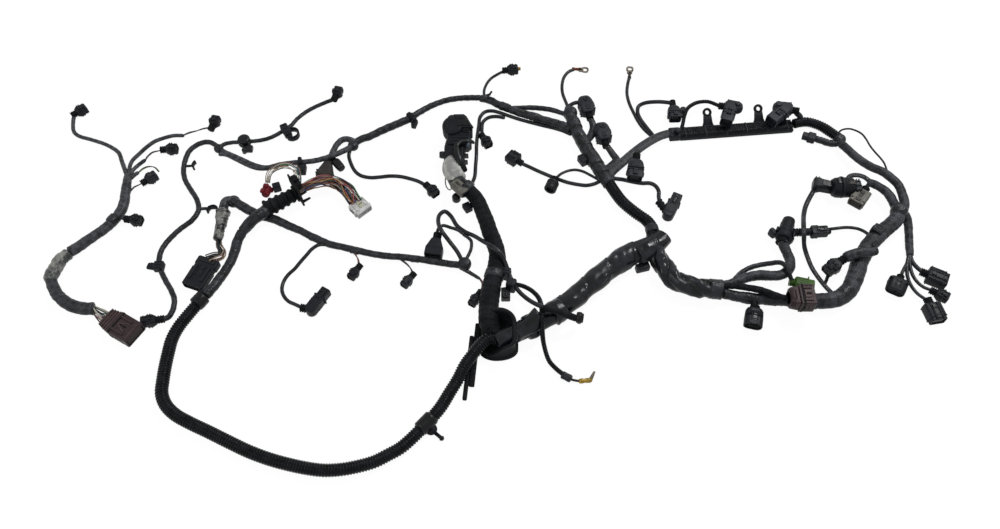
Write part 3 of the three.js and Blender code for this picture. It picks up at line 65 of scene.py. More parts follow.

# %% [markdown]
# ## Routes
# A loom is known by the line that it follows. Each point is x and y in millimetres on the table, and a
# third number where the underside stands off it. They were chosen along the photograph, and they
# are the same points as in the part's own source. Only the bare sleeve's line is scene.py's own.

# %% Routes
MM = 0.001  # the harness is measured in millimetres and Blender in metres
ROUTES = dict(
    left_trunk=[(-544, 113), (-543, 98), (-541, 81), (-539, 64), (-540, 49), (-544, 37), (-551, 24),
        (-560, 12), (-577, -5), (-589, -18), (-599, -26)],
    cam_lead=[(-544, 110, 4), (-553, 127, 2), (-563, 146), (-571, 162), (-583, 172), (-599, 181),
        (-623, 190), (-643, 197), (-653, 206), (-659, 224), (-660, 239, 3)],
    lead_two=[(-542, 110, 4), (-547, 131, 2), (-547, 147), (-539, 161), (-530, 175), (-520, 186),
        (-507, 193), (-492, 198), (-476, 198)],
    wire_two=[(-477, 198, 2), (-470, 205), (-459, 209), (-450, 213), (-440, 213, 2), (-433, 211, 4)],
    lead_three=[(-541, 108, 4), (-541, 126, 2), (-536, 138), (-527, 149)],
    wire_three=[(-527, 147, 2), (-525, 158), (-520, 165), (-512, 166, 2), (-501, 166, 5)],
    lead_four=[(-540, 108, 4), (-536, 118, 2), (-531, 123, 2)],
    wire_four_up=[(-531, 123, 3), (-526, 129, 4), (-517, 132, 6), (-507, 130, 7), (-499, 122, 6)],
    wire_four_low=[(-536, 80, 5), (-533, 95, 2), (-526, 100, 2), (-518, 102, 5)],
    stub_five=[(-540, 37, 4), (-533, 35, 3), (-527, 33, 4)],
    grey_sleeve=[(-597, -28), (-605, -38), (-609, -51), (-612, -66), (-611, -76)],
    tail_sleeve=[(-612, -73), (-604, -87), (-594, -100), (-581, -110), (-566, -117), (-552, -120),
        (-539, -120)],
    tail_wires=[(-541, -119), (-530, -127), (-515, -137)],
    sensor_cable=[(-443, -136, 2), (-435, -131), (-431, -120), (-432, -103), (-440, -87),
        (-451, -71), (-461, -54), (-467, -37), (-467, -20), (-460, -2), (-448, 16), (-432, 34),
        (-426, 52), (-432, 71), (-444, 89), (-457, 109), (-463, 128), (-464, 148), (-460, 168),
        (-447, 181), (-435, 184), (-425, 180), (-416, 172)],
    branch_cable=[(-415, 171, 2), (-409, 180), (-400, 183), (-384, 183, 2), (-367, 186),
        (-353, 188), (-341, 192), (-331, 198), (-320, 207), (-308, 219), (-300, 233), (-289, 246),
        (-276, 257), (-260, 267), (-243, 274, 2)],
    upper_a=[(-415, 169), (-399, 160), (-379, 150), (-359, 139), (-336, 132), (-315, 138),
        (-300, 141), (-284, 143), (-268, 143, 2), (-253, 145, 4), (-236, 146, 10), (-222, 154, 10),
        (-211, 165, 6), (-203, 177, 2)],
    upper_b=[(-205, 176), (-194, 187), (-179, 194), (-164, 204), (-149, 213), (-133, 222),
        (-118, 231)],
    upper_c=[(-118, 231, 2), (-103, 246), (-87, 258), (-71, 267), (-55, 273), (-38, 276),
        (-22, 277), (-4, 275, 2)],
    cross=[(-6, 275), (11, 269), (27, 257, 2), (43, 249, 2), (59, 241, 2), (75, 235, 2),
        (91, 228, 2), (107, 222, 2), (123, 216, 2), (140, 205, 2)],
    parallel=[(46, 251, 5), (59, 253, 3), (76, 254, 2), (92, 253, 2), (108, 250, 2), (124, 243, 3),
        (141, 232, 5)],
    lower_twin_a=[(140, 196, 5), (123, 210), (99, 218), (75, 226), (56, 233), (40, 240), (27, 246),
        (14, 250), (3, 248), (-5, 237), (-7, 216, 2), (-9, 195, 3), (-10, 175, 3), (-10, 155, 2),
        (-11, 136), (-12, 116), (-17, 98, 3), (-21, 86, 8)],
    lower_twin_b=[(35, 235), (22, 238), (9, 236), (0, 227), (-2, 210, 2), (-1, 193, 3)],
    amber_lead=[(1, 277, 4), (1, 294, 2), (5, 310), (12, 322), (22, 329, 2), (35, 336, 4)],
    taped_loop=[(-200, 180, 2), (-210, 186, 2), (-220, 189), (-228, 182), (-233, 171), (-236, 159),
        (-241, 143)],
    mid_lead=[(-207, 171, 4), (-210, 159), (-205, 141), (-197, 126), (-188, 118), (-173, 114),
        (-158, 115), (-143, 117), (-127, 116), (-112, 112), (-99, 107), (-84, 95, 3)],
    ecu_trunk=[(-29, 83, 10), (-18, 75, 6), (-7, 63, 2), (0, 46), (6, 28), (11, 10), (17, -8),
        (22, -25), (23, -42), (21, -61), (17, -77), (14, -95, 2), (12, -113, 6), (11, -133, 10),
        (11, -154, 14)],
    conduit=[(23, -175, 15), (12, -175, 15), (3, -181, 14), (-5, -190, 11), (-13, -200, 8),
        (-21, -213, 7), (-29, -229, 3), (-39, -246), (-51, -268), (-64, -285), (-76, -299),
        (-88, -312), (-100, -323), (-115, -332), (-132, -341), (-152, -347), (-173, -351),
        (-195, -352), (-218, -349), (-241, -344), (-266, -337), (-293, -327), (-321, -314),
        (-348, -301), (-374, -289), (-396, -277), (-411, -263), (-419, -247), (-421, -229),
        (-422, -210), (-422, -189), (-421, -168), (-416, -150), (-407, -132), (-398, -116), (-388, -101)],
    dash_low=[(-387, -101, 3), (-380, -88, 2), (-374, -72), (-367, -57), (-361, -39),
        (-358, -23, 2), (-355, -7, 5), (-349, 5, 10)],
    dash_up=[(-350, 4, 8), (-342, 12, 13), (-331, 22, 17), (-323, 35, 13), (-316, 47, 8)],
    bundle=[(-278, 73, 14), (-263, 83, 14), (-253, 90, 12), (-242, 96, 9), (-230, 98, 6),
        (-218, 95, 4), (-207, 86, 3), (-197, 73, 2), (-188, 60)],
    colour_loop=[(-326, 95, 10), (-325, 107, 14), (-320, 116, 15), (-311, 121, 17), (-300, 122, 19),
        (-290, 117, 21), (-282, 109, 22), (-277, 95, 22), (-275, 80, 22)],
    injector=[(-377, 67, 2), (-363, 58, 2), (-348, 49), (-328, 40), (-308, 33), (-287, 22),
        (-268, 13), (-253, 4), (-237, -4), (-222, -11), (-207, -15), (-192, -19), (-177, -23),
        (-162, -27), (-147, -30), (-133, -32), (-118, -33), (-103, -35), (-89, -37), (-74, -40),
        (-52, -44), (-31, -47), (-16, -49)],
    corner=[(-371, 63), (-379, 68), (-386, 66), (-388, 56), (-387, 44)],
    leg=[(-386, 47, 2), (-386, 28), (-386, 10), (-386, -5)],
    leg_wires=[(-386, -3), (-383, -15, 2), (-377, -24, 3), (-377, -33, 4), (-386, -37, 5),
        (-393, -42, 6)],
    elbow_lead=[(-227, -12, 4), (-238, -11, 2), (-248, -17), (-255, -28), (-262, -39), (-269, -51),
        (-277, -61), (-282, -72), (-283, -85), (-279, -96), (-271, -105), (-261, -110), (-247, -119, 4)],
    inj_wire1=[(-193, -19, 4), (-185, -25, 2), (-179, -35, 2), (-176, -50, 5)],
    inj_wire2=[(-118, -36, 4), (-108, -43, 2), (-101, -52, 2), (-98, -64, 5)],
    inj_lead3=[(-31, -50, 3), (-16, -58), (-2, -68)],
    inj_wire3=[(-2, -68, 2), (2, -75, 2), (1, -85, 3), (-2, -94, 5)],
    loop_lead=[(-26, -47, 9), (-35, -26, 6), (-47, -10, 10), (-58, 3, 17), (-64, 22, 11),
        (-63, 42, 3), (-56, 50), (-47, 42), (-37, 24), (-25, 12, 2), (-11, 1, 7), (2, -16, 19),
        (14, -30, 28), (26, -41, 28), (34, -52, 19), (39, -65, 13), (44, -78, 11), (52, -95, 14),
        (64, -115, 25), (76, -130, 36), (88, -138, 40)],
    thick_tube=[(85, -137, 38), (93, -140, 38), (103, -141, 35), (117, -143, 28), (132, -144, 19)],
    boot_lead=[(-65, 2, 6), (-64, 15, 6), (-57, 22, 4), (-47, 20, 2), (-35, 15, 2), (-25, 6, 2),
        (-16, -3, 2), (-15, -16, 2), (-20, -33, 4), (-25, -44, 4)],
    ground_lead=[(45, -84, 12), (58, -87, 12), (70, -95, 14), (79, -106, 16), (83, -122, 24),
        (84, -140, 32), (84, -154, 35), (84, -166, 28), (86, -177, 12), (93, -198, 2), (102, -209),
        (114, -221, 2)],
    foil=[(45, -166, 6), (61, -158, 2), (79, -147), (96, -135), (113, -121), (132, -106),
        (151, -88), (169, -70), (187, -55), (205, -42), (225, -30), (243, -22, 1)],
    twist=[(247, -20, 2), (254, -37, 2), (261, -55, 2), (271, -73, 2), (285, -84, 2), (301, -89, 2),
        (319, -92, 2), (339, -93)],
    up_branch=[(340, -84, 6), (354, -81, 4), (370, -73, 2), (385, -68, 2), (401, -66, 2),
        (416, -67, 2), (431, -64, 2), (442, -54, 2), (445, -41, 2), (443, -29, 2), (440, -18, 4),
        (438, -10, 6)],
    arc=[(359, -76, 10), (374, -58), (387, -50), (403, -45), (416, -45, 4), (427, -50, 14),
        (434, -60, 18), (438, -70, 12), (442, -77, 5)],
    low_branch_a=[(340, -87, 10), (358, -88, 12), (375, -92, 14), (394, -98, 16), (411, -107, 18),
        (429, -114, 18)],
    low_branch_b=[(339, -97, 4), (357, -99), (378, -103), (403, -105), (431, -107), (452, -109),
        (472, -110)],
    right_trunk=[(464, -109), (476, -109), (490, -108), (505, -103), (519, -91), (529, -76),
        (537, -60), (545, -43), (555, -28, 2), (568, -12, 3), (582, 1, 4), (598, 14, 5), (611, 26, 7),
        (618, 39, 9)],
    outer=[(621, 35, 14), (626, 48, 18), (626, 65, 20), (623, 80, 22), (616, 96, 20),
        (607, 109, 18), (594, 119, 16), (584, 133, 12), (575, 147, 10), (567, 163, 8), (560, 179, 4)],
    inner=[(616, 37, 11), (614, 57, 11), (610, 72, 11), (602, 84, 10), (593, 93, 8), (585, 96, 7)],
    flat_lead=[(589, 98, 11), (582, 107, 10), (573, 111, 9), (562, 109, 9), (557, 102, 9)],
    hoop_wire=[(562, 196, 10), (567, 199, 14), (577, 198, 18), (585, 193, 20), (592, 185, 22),
        (596, 172, 24), (599, 159, 24), (604, 146, 24), (608, 134, 26), (612, 123, 26), (613, 108, 26)],
    twin_lead=[(509, 93, 8), (498, 77, 5), (488, 60, 2), (480, 41, 6), (470, 11, 20), (467, -8, 20),
        (470, -18, 6), (474, -34), (477, -51), (483, -67), (491, -83), (500, -100, 3)],
    sensor_lead=[(505, 13, 6), (523, 18, 2), (540, 20, 2), (556, 18, 2), (564, 5, 10),
        (565, -11, 18), (563, -28, 22)],
    down=[(626, 37, 12), (630, 25, 6), (629, 9, 2), (626, -9), (622, -31)],
    down_oval=[(622, -28, 4), (616, -41, 2), (607, -54, 4), (597, -70, 6)],
    down_three=[(622, -28, 3), (623, -40, 2), (627, -51, 3), (633, -61, 5)],
    right_conduit=[(496, 218), (506, 221), (519, 222), (531, 218), (542, 211), (552, 198, 2),
        (563, 185, 3)],
    coil_lead1=[(273, 190, 3), (261, 216), (253, 233), (250, 248), (253, 260), (263, 265, 2),
        (283, 265, 5), (306, 257, 11)],
    coil_lead2=[(314, 203, 4), (318, 214, 9), (321, 226, 15), (326, 237, 19), (336, 248, 17),
        (348, 256, 14), (362, 257, 14), (373, 251, 15), (381, 243, 17)],
    ring_lead2=[(243, 326), (238, 305), (236, 287), (238, 267), (243, 248), (249, 229), (257, 212),
        (272, 190, 2)],
    ribbon=[(297, 199), (281, 193), (266, 184), (249, 171), (232, 155), (217, 140), (201, 122, 3),
        (191, 108, 4)],
    centre=[(139, 239), (143, 222), (148, 203), (155, 184), (163, 164), (171, 147), (178, 129),
        (186, 111), (194, 95)],
    centre_conduit=[(194, 97), (202, 80), (211, 64), (222, 51), (233, 40), (244, 30), (250, 17, 2),
        (251, 2, 4), (246, -11, 6)],
    ring_lead1=[(140, 243, 5), (135, 268), (130, 289), (130, 308), (134, 325), (142, 337), (152, 343)],
    square_lead=[(58, 141, 3), (74, 134), (89, 125), (104, 117), (116, 111), (130, 105), (145, 101),
        (160, 99), (174, 103), (186, 108, 5)],
    round_lead=[(110, 104, 8), (121, 118, 5), (134, 126, 3), (145, 128, 2), (155, 125, 2),
        (166, 118, 2), (179, 106, 5)],
    right_lead=[(193, 113, 4), (204, 112), (216, 110), (230, 106), (245, 103), (257, 103),
        (265, 98), (269, 88), (268, 77), (268, 61, 4)],
    upper_strand=[(-414, 160), (-403, 159), (-386, 150), (-367, 139), (-350, 132), (-333, 131)],
    low_stub=[(381, -100, 4), (382, -112, 5), (382, -121, 6)],
    arm=[(566, -35, 20), (556, -37, 19), (543, -39, 20), (530, -41, 18), (519, -45, 15)],
    arm_stub=[(500, -56, 3), (496, -66), (490, -77)],
    grey_stub=[(589, 95, 8), (584, 90, 9), (579, 83, 10)],
    end_lead_2=[(622, -28, 3), (618, -48, 2), (619, -68, 2), (627, -83, 3), (639, -91, 5)],
    end_lead_3=[(621, -28, 3), (613, -50, 2), (610, -72, 2), (616, -92, 2), (628, -108, 5)],
    sleeved_stub=[(558, 176, 3), (545, 180, 1), (533, 186, 1), (524, 190, 1)],
    hood_stub=[(499, 233, 14), (507, 229, 9), (510, 221, 2)],
    ribbon_1=[(171, 230, 5), (176, 215), (172, 197), (162, 180, 4)],
    ribbon_2=[(193, 173, 5), (203, 158), (208, 146), (199, 134), (188, 122, 4)],
    ribbon_top=[(133, 249, 6), (141, 257, 6), (149, 260, 8), (158, 260, 9)],
    ribbon_3=[(240, 167, 1), (241, 155, 7), (238, 143, 11)],
    side_branch=[(165, 162, 3), (163, 146, 1), (168, 136, 1), (178, 130, 4)],
    sensor_stub=[(-427, 54, 1), (-418, 55, 1), (-410, 55, 1)],
    bare_wire=[(113, -221, 2), (124, -226, 2), (134, -228, 2)],
)
print("routes:", len(ROUTES))

# %% [markdown]
# ## From points to a curve
# A loom has no corners, so a smooth curve goes through its points. A Catmull-Rom spline needs no handles,
# and the centripetal kind makes no loops where points lie close together.

# %% The curve through a route


def smooth_line(points, diameter, spacing):
    """A centripetal Catmull-Rom curve through the points, sampled evenly, in millimetres.

    Between b and c with neighbours a and d, the knots lie sqrt(distance) apart, and the point is the
    repeated linear blend of the four. The height of the centreline is the lift plus half the diameter.
    """
    p = np.array([(x, y, (lift[0] if lift else 0) + diameter / 2) for x, y, *lift in points], float)
    p = np.vstack([2 * p[0] - p[1], p, 2 * p[-1] - p[-2]])
    t = np.linspace(0, 1, 24, endpoint=False)[None, :, None]
    a, b, c, d = (p[i : len(p) - 3 + i, None] for i in range(4))
    k1 = np.sqrt(np.linalg.norm(b - a, axis=2, keepdims=True))
    k2 = k1 + np.sqrt(np.linalg.norm(c - b, axis=2, keepdims=True))
    k3 = k2 + np.sqrt(np.linalg.norm(d - c, axis=2, keepdims=True))
    k = k1 + t * (k2 - k1)
    ab, bc, cd = (
        (k1 - k) / k1 * a + k / k1 * b,
        (k2 - k) / (k2 - k1) * b + (k - k1) / (k2 - k1) * c,
        (k3 - k) / (k3 - k2) * c + (k - k2) / (k3 - k2) * d,
    )
    abc = (k2 - k) / k2 * ab + k / k2 * bc
    bcd = (k3 - k) / (k3 - k1) * bc + (k - k1) / (k3 - k1) * cd
    line = (k2 - k) / (k2 - k1) * abc + (k - k1) / (k2 - k1) * bcd
    line = np.vstack([line.reshape(-1, 3), p[-2]])
    along = np.concatenate([[0], np.cumsum(np.linalg.norm(np.diff(line, axis=0), axis=1))])
    even = np.linspace(0, along[-1], max(3, int(along[-1] / spacing) + 1))
    return np.column_stack([np.interp(even, along, line[:, i]) for i in range(3)])


print("stations along the left trunk:", len(smooth_line(ROUTES["left_trunk"], 15.5, 4.0)))

# %% [markdown]
# ## From arrays to a mesh
# Every surface below is a grid: rows are stations along a path, columns go round it. One function numbers
# the faces of such a grid, another hands the finished arrays to Blender in one go, which is hundreds of
# times faster than adding vertices one by one.

# %% Grid faces and mesh maker


def grid_faces(rows, columns):
    """Quads of a grid that closes round its columns, and one flat cap at each end.

    The quad at row i and column j joins (i, j), (i, j+1), (i+1, j+1) and (i+1, j), with j+1 taken modulo
    the number of columns.
    """
    i, j = np.meshgrid(np.arange(rows - 1), np.arange(columns), indexing="ij")
    k = (j + 1) % columns
    quads = np.stack([i * columns + j, i * columns + k, (i + 1) * columns + k, (i + 1) * columns + j], -1)
    first = np.arange(columns)[::-1]
    return quads.reshape(-1, 4), [first, (rows - 1) * columns + np.arange(columns)]


def mesh_object(name, shapes, finishes, paint=None):
    """One object from several closed shapes: each is (points in mm, quads, caps, finish number).

    A fifth item is 0 in a hollow and 1 on a ridge, with lengthwise painted highlight bands added; a shape
    without it is level, 0.5.
    The paint is the colour of each point, for bare wires.
    """
    points, corners, sizes, slots, reliefs = [], [], [], [], []
    count = 0
    for shape_points, quads, caps, slot, *relief_and_highlight in shapes:
        points.append(shape_points)
        reliefs.append(relief_and_highlight[0] if relief_and_highlight else np.full(len(shape_points), 0.5))
        corners.append((quads + count).ravel())
        sizes.append(np.full(len(quads), 4))
        for cap in caps:
            corners.append(cap + count)
            sizes.append([len(cap)])
        slots.append(np.full(len(quads) + len(caps), slot))
        count += len(shape_points)
    points, corners = np.concatenate(points) * MM, np.concatenate(corners)
    sizes, slots = np.concatenate(sizes), np.concatenate(slots)
    mesh = bpy.data.meshes.new(name)
    mesh.vertices.add(len(points))
    mesh.vertices.foreach_set("co", points.astype(np.float32).ravel())
    mesh.loops.add(len(corners))
    mesh.loops.foreach_set("vertex_index", corners.astype(np.int32))
    mesh.polygons.add(len(sizes))
    mesh.polygons.foreach_set("loop_start", np.concatenate([[0], np.cumsum(sizes)[:-1]]).astype(np.int32))
    mesh.polygons.foreach_set("material_index", slots.astype(np.int32))
    mesh.polygons.foreach_set("use_smooth", np.ones(len(sizes), bool))
    heights = np.concatenate(reliefs).astype(np.float32)
    mesh.attributes.new("relief_and_highlight", "FLOAT", "POINT").data.foreach_set("value", heights)
    if paint:
        colours = np.concatenate(paint).astype(np.float32).ravel()
        mesh.attributes.new("insulation", "FLOAT_COLOR", "POINT").data.foreach_set("color", colours)
    mesh.update(calc_edges=True)
    mesh.validate()
    for finish in finishes:
        mesh.materials.append(finish)
    made = bpy.data.objects.new(name, mesh)
    bpy.context.scene.collection.objects.link(made)
    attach(made, "root")
    return made


print("quads in a grid of 3 by 4:", len(grid_faces(3, 4)[0]))

# %% [markdown]
# ## Colours and nodes
# Colours are written as they look on a screen, and the renderer wants them linear. A material is a small
# network, so one function adds a node with its settings and links.

# %% Colour and node helpers


def linear(code):
    """sRGB hex to linear: c / 12.92 up to 0.04045, above it ((c + 0.055) / 1.055) to the power 2.4."""
    c = np.array([int(code[i : i + 2], 16) / 255 for i in (1, 3, 5)])
    return (*np.where(c <= 0.04045, c / 12.92, ((c + 0.055) / 1.055) ** 2.4), 1.0)


def add(tree, kind, settings=None, **inputs):
    """Adds a node. An input is named, or numbered as i0, i1, and takes a value or another socket."""
    node = tree.nodes.new("ShaderNode" + kind)
    for key, value in (settings or {}).items():
        setattr(node, key, value)
    for key, value in inputs.items():
        numbered = key[0] == "i" and key[1:].isdigit()
        socket = node.inputs[int(key[1:])] if numbered else node.inputs[key.replace("_", " ")]
        if isinstance(value, bpy.types.NodeSocket):
            tree.links.new(value, socket)
        else:
            socket.default_value = value
    return node


def new_finish(name, roughness, specular=0.5, metallic=0.0):
    """An empty material with its shader: returns the material, its node tree and the shader."""
    material = bpy.data.materials.new(name)
    material.use_nodes = True
    tree = material.node_tree
    shader = tree.nodes["Principled BSDF"]
    shader.inputs["Roughness"].default_value = roughness
    shader.inputs["Specular IOR Level"].default_value = specular
    shader.inputs["Metallic"].default_value = metallic
    return material, tree, shader


def speckle(tree, grain, detail=3.0, stretch=None):
    """Noise on the object's own coordinates: its grains are about this many millimetres wide."""
    place = add(tree, "TexCoord").outputs["Object"]
    if stretch:
        place = add(tree, "Mapping", i0=place, Scale=stretch).outputs[0]
    return add(tree, "TexNoise", Vector=place, Scale=1 / (grain * MM), Detail=detail).outputs[0]


def patches(tree, grain, detail, low, high, most=1.0):
    """A mask of patches: 0 where the noise is under low, then a straight line to its most at high."""
    noise = speckle(tree, grain, detail)
    return add(tree, "MapRange", Value=noise, From_Min=low, From_Max=high, To_Max=most).outputs[0]


COLOURS = {"data_type": "RGBA"}  # a Mix node for colours: i0 the share, i6 and i7 the colours, output 2
CLAMPED_SUM = {"operation": "ADD", "use_clamp": True}
print("screen grey #808080 is linear", round(linear("#808080")[0], 3))

# %% [markdown]
# ## Loom tape
# The looms are wound with soft PVC tape or with a woven cloth tape. The turns overlap, which the geometry
# shows as small steps. What is left for the material is the drawn, dusty skin: grains of dust, rubbed
# patches, a lighter tone on the ridges that is partly painted highlight, and a sheen that comes and goes.
# The older left part is greyer than the rest.

# %% Tape finishes
DUST = "#626262"


def tape_finish(name, dark, rubbed_and_highlight_tone, roughness, crease=0.5, crease_size=4, specular=0.2, dust=0.25):
    """PVC or cloth tape: lighter in broad rubbed patches, and lighter on its ridges as painted highlight as
    well as rubbing; dusty in fine grain, creased in bump.
    """
    material, tree, shader = new_finish(name, roughness, specular)
    broad = patches(tree, 9.09, 4.0, 0.42, 0.66, 0.5)
    relief_and_highlight = add(tree, "Attribute", {"attribute_name": "relief_and_highlight"}).outputs["Fac"]
    # ridges and the lengthwise bands read from the mesh take the lighter tone: partly rubbing, partly painted
    # highlight
    crest = add(tree, "MapRange", Value=relief_and_highlight, From_Min=0.25, From_Max=0.95, To_Max=0.7).outputs[0]
    wear_and_highlight = add(tree, "Math", CLAMPED_SUM, i0=broad, i1=crest).outputs[0]
    tone = add(tree, "Mix", COLOURS, i0=wear_and_highlight, i6=linear(dark), i7=linear(rubbed_and_highlight_tone)).outputs[2]
    # real dust is finer, and is drawn as coarse as it needs to be to show
    dusty = patches(tree, 1.67, 3.0, 0.54, 0.76, dust)
    skin = add(tree, "Mix", COLOURS, i0=dusty, i6=tone, i7=linear(DUST)).outputs[2]
    tree.links.new(skin, shader.inputs["Base Color"])
    dull = add(tree, "MapRange", Value=broad, From_Max=0.5, To_Min=roughness - 0.09, To_Max=roughness + 0.12)
    tree.links.new(dull.outputs[0], shader.inputs["Roughness"])
    folds = speckle(tree, crease_size, 4.0)
    bump = add(tree, "Bump", Strength=crease, Distance=0.0016, Height=folds)
    tree.links.new(bump.outputs[0], shader.inputs["Normal"])
    return material


# the second colour is the rubbed tone, which the ridges and lengthwise bands also take as painted highlight
TAPE = tape_finish("loom_tape_pvc", "#090a0c", "#282b31", 0.34, 0.9, 5, 0.18, 0.2)
DUSTY_TAPE = tape_finish("loom_tape_dusty", "#16181b", "#44474c", 0.46, 1.0, 6, 0.18, 0.6)
FLEECE = tape_finish("loom_tape_cloth", "#060708", "#181a1e", 0.6, 1.0, 3, 0.06, 0.14)
WORN_FLEECE = tape_finish("loom_tape_cloth_worn", "#0f1114", "#383b40", 0.5, 1.0, 5, 0.16, 0.45)
SHINY_TAPE = tape_finish("loom_tape_shiny", "#030405", "#1c1e24", 0.23, 0.14, 30, 0.2, 0.05)
CABLE = tape_finish("cable_sheath_pvc", "#0c0e11", "#22252a", 0.3, 0.25, 3, 0.17, 0.12)
CONDUIT_PLASTIC = tape_finish("polyamide_conduit", "#010102", "#181b20", 0.2, 0.1, 6, 0.08, 0.04)
print("tape finishes:", len(bpy.data.materials))

# %% [markdown]
# ## Moulded plastics
# The plugs are glass-filled nylon. The mould leaves a fine grain. A lighter colour on every sharp corner
# stands partly for nylon rubbed by handling and partly for painted highlight; pointiness finds those places.
# Coloured housings have the same pigment-in-nylon look, only with another pigment.

# %% Plastic finishes


def plastic_finish(name, colour, edge, roughness=0.42, specular=0.12):
    """Moulded nylon: mottled pigment, and a lighter colour on sharp corners that is partly rubbing and partly
    painted highlight. Its grain is drawn coarser than real, to show.
    """
    material, tree, shader = new_finish(name, roughness, specular)
    mottle = patches(tree, 6.25, 4.0, 0.35, 0.7)
    shade = tuple(0.62 * c for c in linear(colour)[:3]) + (1.0,)
    base = add(tree, "Mix", COLOURS, i0=mottle, i6=shade, i7=linear(colour)).outputs[2]
    # sharp corners found by pointiness take the lighter colour: rubbed nylon and painted highlight both
    point = add(tree, "NewGeometry").outputs["Pointiness"]
    edge_rub_and_highlight = add(tree, "MapRange", Value=point, From_Min=0.55, From_Max=0.72, To_Max=0.6).outputs[0]
    skin = add(tree, "Mix", COLOURS, i0=edge_rub_and_highlight, i6=base, i7=linear(edge)).outputs[2]
    tree.links.new(skin, shader.inputs["Base Color"])
    dull = add(tree, "MapRange", Value=mottle, To_Min=roughness - 0.06, To_Max=roughness + 0.12)
    tree.links.new(dull.outputs[0], shader.inputs["Roughness"])
    grain = speckle(tree, 0.417, 2.0)
    bump = add(tree, "Bump", Strength=0.18, Distance=0.0004, Height=grain)
    tree.links.new(bump.outputs[0], shader.inputs["Normal"])
    return material


# the second colour of each plastic is the lighter one on sharp corners, partly painted highlight
BLACK = plastic_finish("nylon_black", "#13151a", "#3b3f47")
SATIN_BLACK = plastic_finish("nylon_black_satin", "#0b0c0f", "#34373e", 0.3, 0.18)
BROWN = plastic_finish("nylon_brown", "#352a2c", "#665253")
# a lighter brown for the raised ribs, rings and rails of the brown plugs: painted highlight on them
BROWN_RIB_HIGHLIGHT = plastic_finish("nylon_brown_rib_highlight", "#473838", "#7b6664")
SLATE = plastic_finish("nylon_slate", "#3a444d", "#6d7880", 0.34)
GREEN = plastic_finish("nylon_green", "#34521f", "#6f9646")
LIME = plastic_finish("nylon_lime_insert", "#7cc040", "#b6ee80")
WHITE = plastic_finish("nylon_white", "#bfc0bf", "#ecebe6", 0.42, 0.4)
GREY = plastic_finish("nylon_grey", "#33312f", "#6a665f", 0.46)
ASH = plastic_finish("nylon_ash", "#5c5a53", "#918e84", 0.42, 0.2)
CREAM = plastic_finish("nylon_cream", "#a9a894", "#d2d1c0", 0.42, 0.4)
CHARCOAL = plastic_finish("nylon_charcoal", "#191c23", "#434a56", 0.4, 0.15)
AMBER = plastic_finish("nylon_amber", "#8f6c2a", "#c0a05a")
print("finishes with the plastics:", len(bpy.data.materials))

# %% [markdown]
# ## Rubber
# Boots, seals and the grommet shell are EPDM rubber. It is duller than nylon and takes on a thin grey
# bloom in the hollows, so the noise there is broad and soft.

# %% Rubber finishes


def rubber_finish(name, colour, bloom, roughness=0.7):
    """EPDM rubber: an even dark body with patches of grey bloom and a soft, dimpled skin."""
    material, tree, shader = new_finish(name, roughness, 0.08)
    patch = patches(tree, 18.2, 5.0, 0.5, 0.78, 0.8)
    skin = add(tree, "Mix", COLOURS, i0=patch, i6=linear(colour), i7=linear(bloom)).outputs[2]
    tree.links.new(skin, shader.inputs["Base Color"])
    bump = add(tree, "Bump", Strength=0.3, Distance=0.0006, Height=speckle(tree, 1.43, 3.0))
    tree.links.new(bump.outputs[0], shader.inputs["Normal"])
    return material


RUBBER = rubber_finish("rubber_black", "#0f1012", "#1f2124", 0.6)
RED_RUBBER = rubber_finish("rubber_dark_red", "#5e1820", "#84333a", 0.5)
print("finishes with the rubber:", len(bpy.data.materials))

# %% [markdown]
# ## Metal, sleeves and wire insulation
# Crimps and terminals are tinned copper or brass: metallic, with scratches along the rolling direction.
# The grey sleeve is aged vinyl, stained and glossy in places. The white sleeve is a woven glass hose,
# left bare. On the sleeves the raised folds keep a pale colour as painted highlight and the valleys take
# painted shade. Wires carry their colour as an attribute, because one bundle holds many colours.

# %% Metal and sleeve finishes


def metal_finish(name, colour, stain, roughness):
    """Rolled sheet metal with darker stains and fine scratches."""
    material, tree, shader = new_finish(name, roughness, 0.5, 1.0)
    stains = patches(tree, 4.17, 4.0, 0.45, 0.7)
    skin = add(tree, "Mix", COLOURS, i0=stains, i6=linear(colour), i7=linear(stain)).outputs[2]
    tree.links.new(skin, shader.inputs["Base Color"])
    scratches = speckle(tree, 3.33, 2.0, (1.0, 9.0, 1.0))
    dull = add(tree, "MapRange", Value=scratches, From_Min=0.3, From_Max=0.7, To_Min=roughness - 0.1,
        To_Max=roughness + 0.15)
    tree.links.new(dull.outputs[0], shader.inputs["Roughness"])
    return material


TIN = metal_finish("tinned_copper", "#6b655b", "#39342d", 0.46)
COPPER = metal_finish("bare_copper_crimp", "#5c3526", "#33201a", 0.5)
BRASS = metal_finish("brass", "#8f7838", "#57482a", 0.42)


